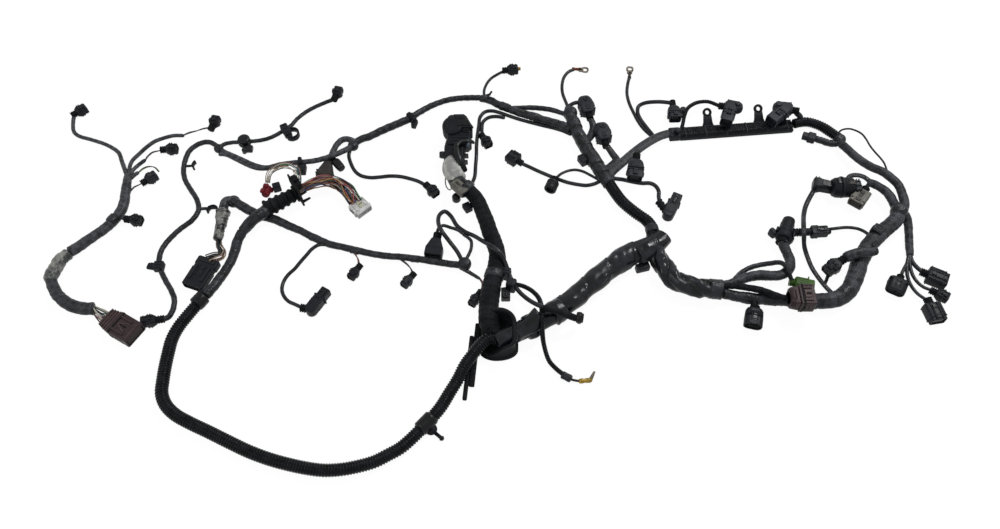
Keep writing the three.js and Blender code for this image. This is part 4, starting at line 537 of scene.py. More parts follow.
def sleeve_finish(name, pale, stain, roughness, grain):
    """A soft sleeve: its pale colour where a fold stands up, as painted highlight; dark in its valleys as
    painted shade, and stained in broad patches.
    """
    material, tree, shader = new_finish(name, roughness, 0.3)
    stained = patches(tree, 11.8, 5.0, 0.4, 0.68, 0.55)
    relief_and_highlight = add(tree, "Attribute", {"attribute_name": "relief_and_highlight"}).outputs["Fac"]
    # valleys take the dark colour as painted shade, and raised folds keep the pale colour as painted
    # highlight
    valley_shade = add(tree, "MapRange", Value=relief_and_highlight, From_Min=0.3, From_Max=0.72, To_Min=0.75, To_Max=0.0)
    stain_and_shade = add(tree, "Math", CLAMPED_SUM, i0=stained, i1=valley_shade.outputs[0]).outputs[0]
    skin = add(tree, "Mix", COLOURS, i0=stain_and_shade, i6=linear(pale), i7=linear(stain)).outputs[2]
    tree.links.new(skin, shader.inputs["Base Color"])
    threads = speckle(tree, grain, 3.0)
    bump = add(tree, "Bump", Strength=0.6, Distance=0.001, Height=threads)
    tree.links.new(bump.outputs[0], shader.inputs["Normal"])
    return material


# the first colour is also the painted highlight on raised folds, the second the stains and the painted shade
# in valleys
AGED_VINYL = sleeve_finish("aged_grey_vinyl", "#7d7e78", "#303232", 0.38, 4)
DARK_VINYL = sleeve_finish("aged_dark_vinyl", "#7a7b76", "#0f1011", 0.26, 4)
GLASS_HOSE = sleeve_finish("woven_glass_hose", "#bcbcb7", "#7f807d", 0.6, 1.1)


def insulation_finish():
    """Thin PVC insulation whose colour is painted on the wire itself as an attribute."""
    material, tree, shader = new_finish("wire_insulation", 0.42, 0.45)
    colour = add(tree, "Attribute", {"attribute_name": "insulation"}).outputs["Color"]
    grime = patches(tree, 3.85, 3.0, 0.5, 0.8, 0.5)
    skin = add(tree, "Mix", COLOURS, i0=grime, i6=colour, i7=linear("#2a2622")).outputs[2]
    tree.links.new(skin, shader.inputs["Base Color"])
    return material


INSULATION = insulation_finish()
print("finishes:", len(bpy.data.materials))

# %% [markdown]
# ## A tube with a skin
# A loom isn't a plain tube. Tape turns overlap, a conduit is corrugated, loose tape creases, and bundled
# leads twist. All of these are small changes of the radius, as a function of the length along the loom
# and of the angle round it, so one sweep makes them all.

# %% The skins


def turn_frames(line):
    """Unit tangent, side and up along a line: side is z cross tangent, and up is tangent cross side."""
    tangent = np.gradient(line, axis=0)
    tangent /= np.linalg.norm(tangent, axis=1, keepdims=True)
    side = np.cross((0.0, 0.0, 1.0), tangent)
    side /= np.linalg.norm(side, axis=1, keepdims=True)
    return tangent, side, np.cross(tangent, side)


def waves(s, angle, seed, count=7, longest=60.0, lean=2):
    """A sum of sine waves over length and angle, seeded: sin(2 pi s / wavelength + whole turns + phase)."""
    rng = np.random.default_rng(seed)
    total = np.zeros(np.broadcast(s, angle).shape)
    for _ in range(count):
        length = longest * rng.uniform(0.18, 1.0)
        total += np.sin(2 * np.pi * s / length + rng.integers(-lean, lean + 1) * angle + rng.uniform(0, 6.28))
    return total / count**0.5


def tape_skin(s, angle, diameter, seed):
    """Overlapping turns: a saw tooth of the helix s / pitch + angle / 2 pi, on slightly lumpy wire."""
    pitch = 5 + 0.7 * diameter
    tooth = (s / pitch + angle / (2 * np.pi)) % 1
    step = np.clip(0.9 / diameter, 0.02, 0.09)
    return 1 + step * (tooth - 0.6) + 0.02 * waves(s, angle, seed, longest=45)


def cable_skin(s, angle, diameter, seed):
    """An extruded sheath: almost even, with the slow swell of the wires inside."""
    return 0.99 + 0.012 * waves(s, angle, seed, 4, 50, 1)


def conduit_skin(s, angle, diameter, seed, pitch=3.7, depth=0.06):
    """Corrugation: tanh of a sine gives flat crests and grooves, split by one lengthwise slit line."""
    ring = np.tanh(2.6 * np.sin(2 * np.pi * s / pitch))
    slit = np.exp(-(((angle - 2.1) / 0.1) ** 2))
    return 1 - depth + depth * ring - 0.03 * slit


def fine_conduit_skin(s, angle, diameter, seed):
    """The same corrugation on a thin hose, with closer rings."""
    return conduit_skin(s, angle, diameter, seed, 2.4, 0.07)


def crease_skin(s, angle, diameter, seed):
    """Loosely wound cloth: soft bags between low ridges, where a ridge is one minus the size of a wave."""
    bags = 0.035 * waves(s, angle, seed, 6, 80, 2)
    ridges = (1 - np.abs(waves(s, angle, seed + 1, 4, 46, 3))).clip(0, 1) ** 2
    turn = (s / (8 + 0.9 * diameter) + angle / (2 * np.pi)) % 1
    return 0.95 + bags + 0.06 * ridges + 0.04 * (turn - 0.5)


def foil_skin(s, angle, diameter, seed):
    """Slack shiny tape: long folds that wind the same way round the loom.

    Each fold is 1 - sqrt(sin^2(phase) + 0.02) to a power, and the 0.02 rounds its crest. The phase is
    half turns of the angle plus a run along the loom. The strip's overlaps are steps of a slow helix.
    """
    rng = np.random.default_rng(seed)
    total = 0.03 * waves(s, angle, seed, 5, 120, 1)
    for turns in (1, 1, 2, 2, 3):
        lay, start = rng.uniform(90, 190), rng.uniform(0, np.pi)
        phase = 0.5 * turns * angle + np.pi * s / lay + start + 0.3 * waves(s, angle, seed + turns, 3, 90, 1)
        fold = (1 - np.sqrt(np.sin(phase) ** 2 + 0.02)).clip(0, 1) ** 1.4
        fade = 0.55 + 0.45 * np.sin(2 * np.pi * s / rng.uniform(60, 110) + start)
        total = total + 0.2 / turns**0.5 * fold * fade
    overlap = (s / 46 + angle / (2 * np.pi)) % 1
    return 0.84 + 0.06 * np.cos(2 * angle) + total + 0.07 * (overlap - 0.5)


def twist_skin(s, angle, diameter, seed):
    """Thick strands laid like a rope under slack tape: lobes |cos(1.5 (angle - 2 pi s / lay))|."""
    phase = 1.5 * (angle - 2 * np.pi * s / 105.0 + 0.15 * waves(s, angle, seed + 2, 3, 90, 1))
    folds = (1 - np.abs(np.sin(2 * phase + 0.7))) ** 2.5
    return 0.66 + 0.34 * np.abs(np.cos(phase)) ** 0.6 + 0.07 * folds + 0.015 * waves(s, angle, seed, 5, 40)


def cloth_skin(s, angle, diameter, seed):
    """Braided cloth: fine ribs along the loom, broad swellings and the odd fold across."""
    ribs = 0.008 * np.sin(26 * angle + 0.4 * np.sin(s / 9))
    folds = 0.02 * np.sin(2 * np.pi * s / 11 + waves(s, angle, seed, 3, 60)) ** 3
    return 0.98 + ribs + folds + 0.022 * waves(s, angle, seed, 5, 80)


def flat_skin(s, angle, diameter, seed):
    """A flat strap or a pair of leads: the height is 0.55 of the width."""
    return 0.98 / np.sqrt(np.cos(angle) ** 2 + (np.sin(angle) / 0.55) ** 2) + 0.01 * waves(s, angle, seed)


def sleeve_skin(s, angle, diameter, seed):
    """A soft sleeve pulled over a loom: flattened sides, lengthwise dents and crumples across."""
    dents = 0.06 * waves(s, angle, seed, 6, 60, 3)
    crumple = (1 - np.abs(waves(s, angle, seed + 3, 3, 30, 3))).clip(0, 1) ** 2
    return 0.92 + dents + 0.1 * crumple - 0.03 * np.cos(2 * angle)


def hose_skin(s, angle, diameter, seed):
    """A woven hose with threads along it: fine ribs, slightly flattened, with two soft folds."""
    folds = 0.08 * (1 - np.abs(np.sin(angle - s / 40))) ** 4
    ribs = 0.01 * np.sin(28 * angle)
    return 0.93 + ribs + folds + 0.06 * np.cos(2 * angle) + 0.02 * waves(s, angle, seed, 4, 50, 2)


# name: (skin, spacing of stations in mm, points round)
SKINS = {
    "tape": (tape_skin, 1.5, 24),
    "cable": (cable_skin, 2.5, 16),
    "conduit": (conduit_skin, 0.5, 26),
    "fine": (fine_conduit_skin, 0.4, 18),
    "crease": (crease_skin, 1.5, 40),
    "foil": (foil_skin, 1.5, 96),
    "twist": (twist_skin, 1.5, 48),
    "cloth": (cloth_skin, 1.2, 64),
    "flat": (flat_skin, 2.0, 20),
    "sleeve": (sleeve_skin, 1.0, 60),
    "hose": (hose_skin, 1.5, 120),
}
print("skins:", list(SKINS))

# %% [markdown]
# ## The sweep
# At each station a ring of points stands across the line, and the skin moves each point in or out. How
# far a point stands out is kept, with lengthwise bands of painted highlight added to it. From it the finishes
# make ridges lighter, for rubbing and painted highlight, and make the hollows of the sleeves darker as
# painted shade.

# %% A tube along a route


def tube(points, diameter, style, slot=0, swell=(1, 1), seed=1):
    """A tube round a route: centre + radius(s, angle) (cos(angle) side + sin(angle) up)."""
    skin, spacing, columns = SKINS[style]
    line = smooth_line(points, diameter, spacing)
    _, side, up = turn_frames(line)
    s = np.concatenate([[0], np.cumsum(np.linalg.norm(np.diff(line, axis=0), axis=1))])[:, None]
    angle = np.linspace(0, 2 * np.pi, columns, endpoint=False)[None]
    along = np.linspace(0, 1, len(swell))
    height = skin(s, angle, diameter, seed)
    # lengthwise bands of painted highlight, added to the ridge height that the finishes read
    highlight_streaks = waves(s, angle, seed + 9, 6, 260, 9)
    relief_and_highlight = np.clip(0.5 + (height - height.mean()) / (3.6 * height.std()) + 0.18 * highlight_streaks, 0, 1)
    radius = diameter / 2 * height * np.interp(s / s[-1], along, swell)
    to_end = np.minimum(s, s[-1] - s)
    radius = radius * (0.72 + 0.28 * np.sqrt(np.clip(to_end / 1.6, 0, 1)))
    ring = np.cos(angle)[..., None] * side[:, None] + np.sin(angle)[..., None] * up[:, None]
    skin_points = line[:, None] + radius[..., None] * ring
    quads, caps = grid_faces(len(line), columns)
    return skin_points.reshape(-1, 3), quads, caps, slot, relief_and_highlight.ravel()


print("points round the left trunk:", len(tube(ROUTES["left_trunk"], 15.5, "tape")[0]))

# %% [markdown]
# ## Looms and leads
# Each loom names its CAD node, the routes that it follows one after another, and a skin and finish for
# each. A lead that ends in a plug is a cord with its real length. The table keeps the order of the tree:
# the left branch, the upper run, the middle, and then the right side.

# %% The looms
FINISHES = [TAPE, CABLE, DUSTY_TAPE, FLEECE, SHINY_TAPE, CONDUIT_PLASTIC, AGED_VINYL, GLASS_HOSE, RUBBER]
FINISHES += [WORN_FLEECE, DARK_VINYL]
# name, CAD nodes, [(route, diameter, skin, finish, swell unless it is even)], and for a cord its diameter,
# far end, plug and whether its path is reversed
LOOMS = [
    ("trunk_left", "left_loom", [("left_trunk", 15.5, "tape", DUSTY_TAPE, (0.8, 1, 0.95, 1.05))]),
    ("lead_cam", "left_loom", [("cam_lead", 6.5, "tape", DUSTY_TAPE, (1.1, 0.95, 0.95))],
        6.5, "plug", "plug_cam", 0),
    ("lead_left_2", "left_loom", [("lead_two", 6, "cable", DUSTY_TAPE, (1, 1.05, 1))],
        6, "plug", "plug_left_2", 0),
    ("lead_left_3", "left_loom", [("lead_three", 6, "cable", DUSTY_TAPE, (1, 1, 1))],
        5, "plug", "plug_left_3", 0),
    ("lead_left_4", "left_loom", [("lead_four", 6, "cable", DUSTY_TAPE)]),
    ("stub_left_5", "left_loom", [("stub_five", 6, "tape", DUSTY_TAPE)]),
    ("sleeve_grey", "left_sleeves", [("grey_sleeve", 20, "sleeve", AGED_VINYL, (0.86, 1, 1, 0.9))]),
    ("sleeve_tail", "left_sleeves", [("tail_sleeve", 17, "crease", WORN_FLEECE, (0.95, 1.03, 1.1, 1.1))]),
    ("cable_sensor", "sensor_loom", [("sensor_cable", 8, "tape", TAPE)], 8, "plug", "plug_sensor", 1),
    ("stub_sensor", "sensor_loom", [("sensor_stub", 5, "cable", TAPE)]),
    ("cable_branch", "sensor_loom", [("branch_cable", 6.5, "tape", TAPE)], 6.5, "plug", "plug_branch", 0),
    ("loom_upper", "upper_loom cross_loom", [("upper_a", 9, "tape", DUSTY_TAPE, (0.85, 0.9, 1)),
        ("upper_b", 12.5, "tape", TAPE, (0.9, 1, 1)), ("upper_c", 9.5, "tape", TAPE, (1.15, 1, 1)),
        ("cross", 13, "tape", TAPE, (0.9, 1, 1.05))], 11, "object", "", 0),
    ("strand_upper", "upper_loom", [("upper_strand", 6.5, "tape", DUSTY_TAPE)]),
    ("loop_taped", "upper_loom", [("taped_loop", 10, "tape", DUSTY_TAPE, (1, 0.95, 1))]),
    ("lead_middle", "upper_loom", [("mid_lead", 6, "cable", CABLE)], 6, "plug", "plug_mid_lead", 0),
    ("lead_parallel", "cross_loom", [("parallel", 8.5, "tape", TAPE, (0.8, 1, 1, 0.8))]),
    ("lead_twin_lower", "cross_loom", [("lower_twin_a", 6, "cable", CABLE)], 6, "object", "", 0),
    ("lead_twin_side", "cross_loom", [("lower_twin_b", 6, "cable", CABLE)], 6, "plug", "plug_side", 0),
    ("lead_amber", "cross_loom", [("amber_lead", 4.8, "cable", CABLE)], 4.8, "plug", "plug_amber", 0),
    ("trunk_control", "control_loom", [("ecu_trunk", 25, "cloth", FLEECE, (0.85, 0.95, 1, 1.12, 1.1))],
        25, "object", "", 0),
    ("conduit_loop", "loop_conduit dash_loom", [("conduit", 17.5, "conduit", CONDUIT_PLASTIC),
        ("dash_low", 14, "crease", TAPE, (1.05, 1, 1, 1.12)),
        ("dash_up", 17, "crease", TAPE, (0.9, 1.02, 1.08, 1.1))], 17, "object", "", 0),
    ("loom_injector", "injector_loom",
        [("injector", 13, "tape", TAPE, (1.1, 1.08, 0.86, 0.8, 0.76, 0.78, 0.8))], 11, "object", "", 0),
    ("leg_injector", "injector_loom", [("corner", 14, "tape", DUSTY_TAPE, (0.9, 1, 1)),
        ("leg", 18, "sleeve", DARK_VINYL, (1.25, 1.05, 0.85, 0.8))]),
    ("lead_elbow", "injector_loom", [("elbow_lead", 5.5, "cable", CABLE)], 5.5, "plug", "plug_elbow", 0),
    ("lead_injector_3", "injector_loom", [("inj_lead3", 6, "tape", TAPE, (1.1, 0.8))]),
    ("cable_loop", "loop_lead", [("loop_lead", 6.5, "cable", CABLE),
        ("thick_tube", 10, "cable", RUBBER, (0.8, 1, 1))], 7, "fitting", "clamp_bolt", 0),
    ("lead_boot", "loop_lead", [("boot_lead", 5, "tape", TAPE)], 5, "plug", "plug_boot", 1),
    ("lead_ground", "ground_lead", [("ground_lead", 7, "fine", CONDUIT_PLASTIC)],
        7, "fitting", "tip_ground", 0),
    ("trunk_foil", "foil_trunk", [("foil", 32, "foil", SHINY_TAPE, (0.8, 0.88, 0.98, 1, 1)),
        ("twist", 27, "twist", SHINY_TAPE, (1.04, 1.1, 1.08, 1.02))], 30, "object", "", 0),
    ("branch_upper", "foil_trunk", [("up_branch", 15, "crease", WORN_FLEECE, (0.8, 1, 1, 1))],
        15, "plug", "sensor_right", 0),
    ("lead_green", "foil_trunk", [("arc", 7.5, "tape", TAPE, (1, 1, 0.85))], 6, "plug", "plug_green", 0),
    ("branch_brown", "foil_trunk", [("low_branch_a", 9, "tape", FLEECE, (1, 1.1, 1))]),
    ("stub_low", "foil_trunk", [("low_stub", 9, "cable", RUBBER, (1, 1.2))]),
    ("trunk_right", "foil_trunk right_trunk", [("low_branch_b", 16, "crease", TAPE, (0.95, 1.06, 1.08, 1.2)),
        ("right_trunk", 22, "cloth", WORN_FLEECE, (1, 1.12, 1.14, 1.08, 1))], 21, "object", "", 0),
    ("loom_outer", "right_trunk", [("outer", 13, "cloth", WORN_FLEECE, (1.1, 1, 1, 1))], 13, "object", "", 0),
    ("loom_inner", "right_trunk", [("inner", 13.5, "crease", WORN_FLEECE, (1.05, 1, 0.95))]),
    ("strap_flat", "right_trunk", [("flat_lead", 8, "flat", TAPE, (1.1, 1))]),
    ("stub_grey", "right_trunk", [("grey_stub", 8, "cable", CABLE, (0.8, 0.8))]),
    ("wire_hoop", "right_trunk", [("hoop_wire", 3, "cable", CABLE)], 3, "object", "", 0),
    ("lead_twin", "right_trunk", [("twin_lead", 7.5, "flat", TAPE)], 6, "plug", "plug_ribbed", 1),
    ("lead_sensor", "right_trunk", [("sensor_lead", 5, "cable", CABLE)], 5, "plug", "sensor_right", 1),
    ("loom_arm", "right_trunk", [("arm", 14, "crease", WORN_FLEECE, (0.9, 1.15, 1.1))]),
    ("stub_arm", "right_trunk", [("arm_stub", 5, "tape", TAPE)]),
    ("branch_down", "right_trunk", [("down", 12, "tape", WORN_FLEECE, (1.05, 1, 0.9)),
        ("down_three", 6.5, "cable", CABLE)], 10, "plug", "plug_end_1", 0),
    ("lead_oval", "right_trunk", [("down_oval", 5, "tape", TAPE)], 5, "plug", "plug_oval", 0),
    ("lead_end_2", "right_trunk", [("end_lead_2", 6.5, "cable", CABLE, (0.9, 0.7))],
        6, "plug", "plug_end_2", 0),
    ("lead_end_3", "right_trunk", [("end_lead_3", 6.5, "cable", CABLE, (0.9, 0.7))],
        6, "plug", "plug_end_3", 0),
    ("conduit_right", "right_trunk", [("right_conduit", 16, "conduit", CONDUIT_PLASTIC)]),
    ("stub_sleeved", "right_trunk", [("sleeved_stub", 11, "sleeve", TAPE)]),
    ("stub_hood", "right_trunk", [("hood_stub", 9, "cable", CABLE)]),
    ("trunk_centre", "centre_trunk", [("centre", 21, "tape", TAPE, (0.9, 1, 1.02, 1))], 21, "object", "", 0),
    ("conduit_centre", "centre_trunk", [("centre_conduit", 18, "conduit", CONDUIT_PLASTIC)],
        18, "object", "", 0),
    ("ribbon_rail", "centre_trunk", [("ribbon", 16, "flat", DUSTY_TAPE, (0.95, 1, 1, 1))],
        16, "object", "", 0),
    ("lead_ring_1", "centre_trunk", [("ring_lead1", 5.5, "cable", CABLE)],
        5.5, "fitting", "ring_terminal_1", 0),
    ("lead_ring_2", "centre_trunk", [("ring_lead2", 5.5, "cable", CABLE)],
        5.5, "fitting", "ring_terminal_2", 1),
    ("lead_coil_1", "centre_trunk", [("coil_lead1", 6.5, "cable", CABLE)], 6.5, "plug", "plug_rail_1", 0),
    ("lead_coil_2", "rail", [("coil_lead2", 6.5, "fine", CONDUIT_PLASTIC)]),
    ("lead_square", "centre_trunk", [("square_lead", 6, "cable", CABLE)], 6, "plug", "plug_square", 1),
    ("lead_round", "centre_trunk", [("round_lead", 4.5, "cable", CABLE)], 4.5, "plug", "plug_round", 1),
    ("lead_corner", "centre_trunk", [("right_lead", 6.5, "cable", CABLE)], 6.5, "plug", "plug_corner", 0),
    ("stub_middle_1", "centre_trunk", [("ribbon_1", 13, "flat", TAPE, (0.8, 1, 1.1))]),
    ("stub_middle_2", "centre_trunk", [("ribbon_2", 13, "flat", TAPE, (0.8, 1, 1.1))]),
    ("stub_middle_3", "centre_trunk", [("ribbon_3", 9, "crease", TAPE)]),
    ("stub_middle_top", "centre_trunk", [("ribbon_top", 6.5, "cable", TAPE)]),
    ("branch_side", "centre_trunk", [("side_branch", 5, "tape", TAPE)]),
]
print("rows:", len(LOOMS))

# %% [markdown]
# ## Building the looms
# Each row becomes one object, and its seed comes from its row, so no two looms crease alike. It stands for
# its CAD nodes, which are hidden. A cord's path is kept for a later step.

cords = []


def keep(piece, nodes):
    """Hides the named CAD nodes, which the piece stands for, and returns the piece."""
    for node in nodes.split():
        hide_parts(node)
    return piece


for number, (name, nodes, parts, *cord) in enumerate(LOOMS):
    shapes = [
        tube(ROUTES[route], diameter, style, FINISHES.index(finish), *swell, seed=10 * number + i)
        for i, (route, diameter, style, finish, *swell) in enumerate(parts)
    ]
    keep(mesh_object(name, shapes, FINISHES), nodes)
    if cord:
        cord_diameter, far_end, plug, backwards = cord
        path = np.vstack([smooth_line(ROUTES[part[0]], part[1], 4.0) for part in parts]) * MM
        cords.append((name, path[::-1] if backwards else path, cord_diameter * MM, far_end, plug))

# the bare sleeve sags to the left of its loom, so it has a line of its own
sleeve_line = [(-41, 135, 3), (-45, 123, 4), (-44, 111, 5), (-39, 100, 7), (-34, 93, 8)]
bare_sleeve = tube(sleeve_line, 32, "hose", FINISHES.index(GLASS_HOSE), (0.88, 1, 0.98, 0.9, 0.8), 4)
keep(mesh_object("sleeve_label", [bare_sleeve], FINISHES), "label_sleeve")

# %% [markdown]
# ## Bare wires
# Where the tape ends, the wires show their colours: behind the brown plug, at the flat plug, at the small
# injector plugs and in the thick bundle to the white plug. They are grouped by bundle, each wire a thin
# tube that winds slowly round its neighbours.

# %% Wires in colour


def wires(points, diameter, colours, wire=2.1, twist=0.02, spread=(1, 1), slot=0, seed=3):
    """Bare wires of a bundle, and their colours, one row for each point of the mesh.

    Wire number i starts at a sunflower place, radius sqrt((i + 0.5) / n) and angle 2.4 i, and turns
    slowly round the bundle's centreline. A spread over 1 fans the wires out sideways, not upwards.
    """
    rng = np.random.default_rng(seed)
    line = smooth_line(points, diameter, 3.0)
    _, side, up = turn_frames(line)
    s = np.concatenate([[0], np.cumsum(np.linalg.norm(np.diff(line, axis=0), axis=1))])
    width = np.interp(s / s[-1], np.linspace(0, 1, len(spread)), spread)
    around = np.linspace(0, 2 * np.pi, 8, endpoint=False)
    shapes, paint = [], []
    for i, colour in enumerate(colours):
        reach = (diameter - wire) / 2 * np.sqrt((i + 0.5) / len(colours))
        turn = 2.4 * i + twist * s + 0.45 * np.sin(s / rng.uniform(8, 20) + rng.uniform(0, 6))
        sideways, upwards = reach * width * np.cos(turn), reach * np.minimum(width, 1) * np.sin(turn)
        centre = line + sideways[:, None] * side + upwards[:, None] * up
        ring = np.cos(around)[None, :, None] * side[:, None] + np.sin(around)[None, :, None] * up[:, None]
        skin_points = (centre[:, None] + wire / 2 * ring).reshape(-1, 3)
        quads, caps = grid_faces(len(line), len(around))
        shapes.append((skin_points, quads, caps, slot))
        paint.append(np.tile(linear(colour), (len(skin_points), 1)))
    return shapes, paint


RED, RUST, OCHRE, OLIVE = "#7c2f33", "#6b4838", "#8d6b35", "#5d6b34"
BLUE, PALE, MOSS, SOOT = "#34507c", "#a3a195", "#3f6b4c", "#17181b"
TAWNY, PINK = "#857361", "#a8727c"
# name, CAD node, [(route, diameter, colours, wire diameter, twist, spread)]
BUNDLES = [
    ("wires_brown_plug", "left_sleeves", [("tail_wires", 15,
        [SOOT, PINK, PALE, SOOT, PALE, MOSS, PALE, SOOT, PALE, PINK, SOOT, PALE, RUST, PALE, SOOT, MOSS,
        PALE], 1.8, 0.02, (0.7, 1.3, 1.8))], "grey_sleeve"),
    ("wires_left_leads", "left_loom", [("wire_two", 3.5, [SOOT, SOOT], 1.7, 0.12, (1, 1)),
        ("wire_three", 3.5, [SOOT, SOOT], 1.8, 0.1, (1, 1)),
        ("wire_four_up", 3.5, [SOOT, OLIVE], 1.6, 0.1, (1, 1)),
        ("wire_four_low", 3.5, [SOOT, SOOT], 1.7, 0.1, (1, 1))], "black_tape"),
    ("wires_flat_plug", "injector_loom", [("leg_wires", 12,
        [SOOT, RUST, TAWNY, SOOT, TAWNY, RUST, SOOT, TAWNY, SOOT, RUST, TAWNY, SOOT, RUST, TAWNY], 1.8, 0.03,
        (0.7, 1, 1.5, 2))], "black_tape"),
    ("wires_injectors", "injector_loom", [("inj_wire1", 4, [RUST, SOOT], 1.9, 0.12, (1, 1)),
        ("inj_wire2", 4, [SOOT, SOOT], 1.9, 0.12, (1, 1)), ("inj_wire3", 4, [RUST, SOOT], 1.9, 0.1, (1, 1))],
        "black_tape"),
    ("wires_white_plug", "colour_bundle", [("bundle", 19,
        [RUST, OLIVE, RED, BLUE, OCHRE, RED, SOOT, PALE, RED, PALE, MOSS, RUST, RED, SOOT, RED]
        + [OLIVE, PALE, BLUE, RED, OCHRE, PALE, SOOT, RUST, PINK, RED, OCHRE, MOSS, SOOT], 1.9, 0.006,
        (0.7, 0.9, 1.15, 1.35, 1.3, 1.2))], "black_tape"),
    ("wires_loop", "colour_bundle", [("colour_loop", 10, [MOSS, OCHRE, BLUE, PALE, SOOT, RUST, PALE, MOSS],
        1.35, 0.015, (0.8, 1.6, 1.6, 1.1))], "black_tape"),
]
for name, nodes, parts, slot in BUNDLES:
    shapes, paint = [], []
    for seed, (route, diameter, colours, wire, twist, spread) in enumerate(parts):
        made, painted = wires(ROUTES[route], diameter, colours, wire, twist, spread, seed=seed + 5)
        shapes += made
        paint += painted
    keep(mesh_object(name, shapes, [INSULATION], paint), nodes)
path = smooth_line(ROUTES["bundle"], 17, 4.0) * MM
cords.append(("wires_white_plug", path, 0.017, "connector", "plug_white"))
print("bundles:", len(BUNDLES))

# %% [markdown]
# ## Moulded parts
# A plug is a stack of blocks, rods and cups, all along one axis. Each of them is a rounded rectangle
# carried along a line, with a few stations of changing size: two or three close stations at an end make
# a rounded edge, and a line that turns back on itself makes a hollow mouth.

# %% The moulding tool


class Moulding:
    """Shapes in one turned frame: x forward, z up from the underside. at() gives a frame inside it."""

    def __init__(self, x, y, z=0.0, heading=0.0, pitch=0.0, parent=None):
        """Turned by the heading about z and then tipped by the pitch, inside the parent's frame."""
        h, p = np.radians(heading), np.radians(pitch)
        turn = np.array([[np.cos(h), -np.sin(h), 0], [np.sin(h), np.cos(h), 0], [0, 0, 1]])
        turn = turn @ np.array([[np.cos(p), 0, -np.sin(p)], [0, 1, 0], [np.sin(p), 0, np.cos(p)]])
        self.turn = parent.turn @ turn if parent else turn
        self.origin = parent.origin + parent.turn @ (x, y, z) if parent else np.array([x, y, z], float)
        self.shapes = parent.shapes if parent else []

    def at(self, x, y, z=0.0, heading=0.0, pitch=0.0):
        """A frame inside this one; its shapes go into the same piece."""
        return Moulding(x, y, z, heading, pitch, self)

    def loft(self, rows, slot=0, corner=4):
        """Carries a rounded rectangle along x. Each row is x, y, z of its centre, width, height, radius.

        Corner k is a quarter circle of the radius about (+-(width/2 - radius), +-(height/2 - radius)).
        """
        rows = np.array(rows, float)
        x, y, z, width, height, radius = (rows[:, i : i + 1] for i in range(6))
        radius = np.minimum(radius, np.minimum(width, height) / 2 * 0.999)
        angle = (np.arange(4)[:, None] * 90 + np.linspace(0, 90, corner)[None]).ravel() * np.pi / 180
        which = np.repeat(np.arange(4) * 90 + 45, corner) * np.pi / 180
        across = y + np.sign(np.cos(which)) * (width / 2 - radius) + radius * np.cos(angle)
        above = z + np.sign(np.sin(which)) * (height / 2 - radius) + radius * np.sin(angle)
        points = np.stack([np.broadcast_to(x, across.shape), across, above], -1).reshape(-1, 3)
        quads, caps = grid_faces(len(rows), 4 * corner)
        self.shapes.append((points @ self.turn.T + self.origin, quads, caps, slot))

    def block(self, length, width, height, x, y=0.0, z=0.0, bevel=0.9, slot=0, taper=1.0, corner=3):
        """A block from x to x + length, standing on z; taper is its end width over its start width."""
        bevel = min(bevel, 0.32 * min(length, width, height))
        rows = []
        for end, way in ((0.0, 1), (1.0, -1)):
            steps = [0, 35, 90] if way == 1 else [90, 35, 0]
            wide = width * (1 + (taper - 1) * end)
            for t in np.radians(steps):
                inset = 2 * bevel * (1 - np.sin(t))
                rows.append(
                    (x + end * length + way * bevel * (1 - np.cos(t)), y, z + height / 2)
                    + (wide - inset, height - inset, 1.2 * bevel)
                )
        self.loft(rows, slot, corner)

    def rod(self, profile, y=0.0, z=0.0, slot=0, x=0.0):
        """A turned part: profile lists (x, diameter) from its start to its end."""
        self.loft([(x + a, y, z, d, d, d / 2) for a, d in profile], slot, 6)

    def post(self, profile, x=0.0, y=0.0, z=0.0, slot=0):
        """A turned part that stands up: profile lists (height, diameter)."""
        self.at(x, y, z, 0, 90).rod(profile, slot=slot)

    def cup(self, length, width, height, x, y=0.0, z=0.0, wall=2.0, depth=8.0, bevel=0.8, round=1.6, slot=0):
        """A block whose nose is hollow: the line runs to the nose, turns round the rim and goes back in."""
        end, mid = x + length, z + height / 2
        rows = [(x, y, mid, width - 2 * bevel, height - 2 * bevel, round)]
        rows += [(x + bevel * 0.4, y, mid, width - 0.5 * bevel, height - 0.5 * bevel, round)]
        rows += [(x + bevel, y, mid, width, height, round), (end - bevel * 0.6, y, mid, width, height, round)]
        rows += [(end, y, mid, width - bevel, height - bevel, round)]
        inner = (width - 2 * wall, height - 2 * wall, round * 0.8)
        rows += [(end, y, mid, inner[0] + 0.5, inner[1] + 0.5, round), (end - 0.5, y, mid, *inner)]
        rows += [(end - depth, y, mid, *inner)]
        self.loft(rows, slot)

    def pins(self, nose, width, height, rows, columns, z=0.0, slot=3):
        """Contact blades in a mouth: a grid of thin bars."""
        for i in range(rows):
            for j in range(columns):
                y = (j - (columns - 1) / 2) * width / columns
                up = z + (i + 0.5) * height / rows - 0.5
                self.block(5.5, 1.5, 1.0, nose - 8, y, up, 0.2, slot)

    def seal(self, length, diameter, z, ribs=3, slot=1):
        """A wire seal: a rubber sleeve with rounded ribs, cos(2 pi ribs x / length) on its diameter."""
        x = np.linspace(0, length + 1, 6 * ribs + 1)
        wave = 0.9 + 0.1 * np.cos(2 * np.pi * ribs * x / length)
        self.rod([(a, diameter * w) for a, w in zip(x, wave)], z=z, slot=slot)

    def strand(self, points, *look, **more):
        """A tube along points on the table, whatever this frame."""
        self.shapes.append(tube(points, *look, **more))

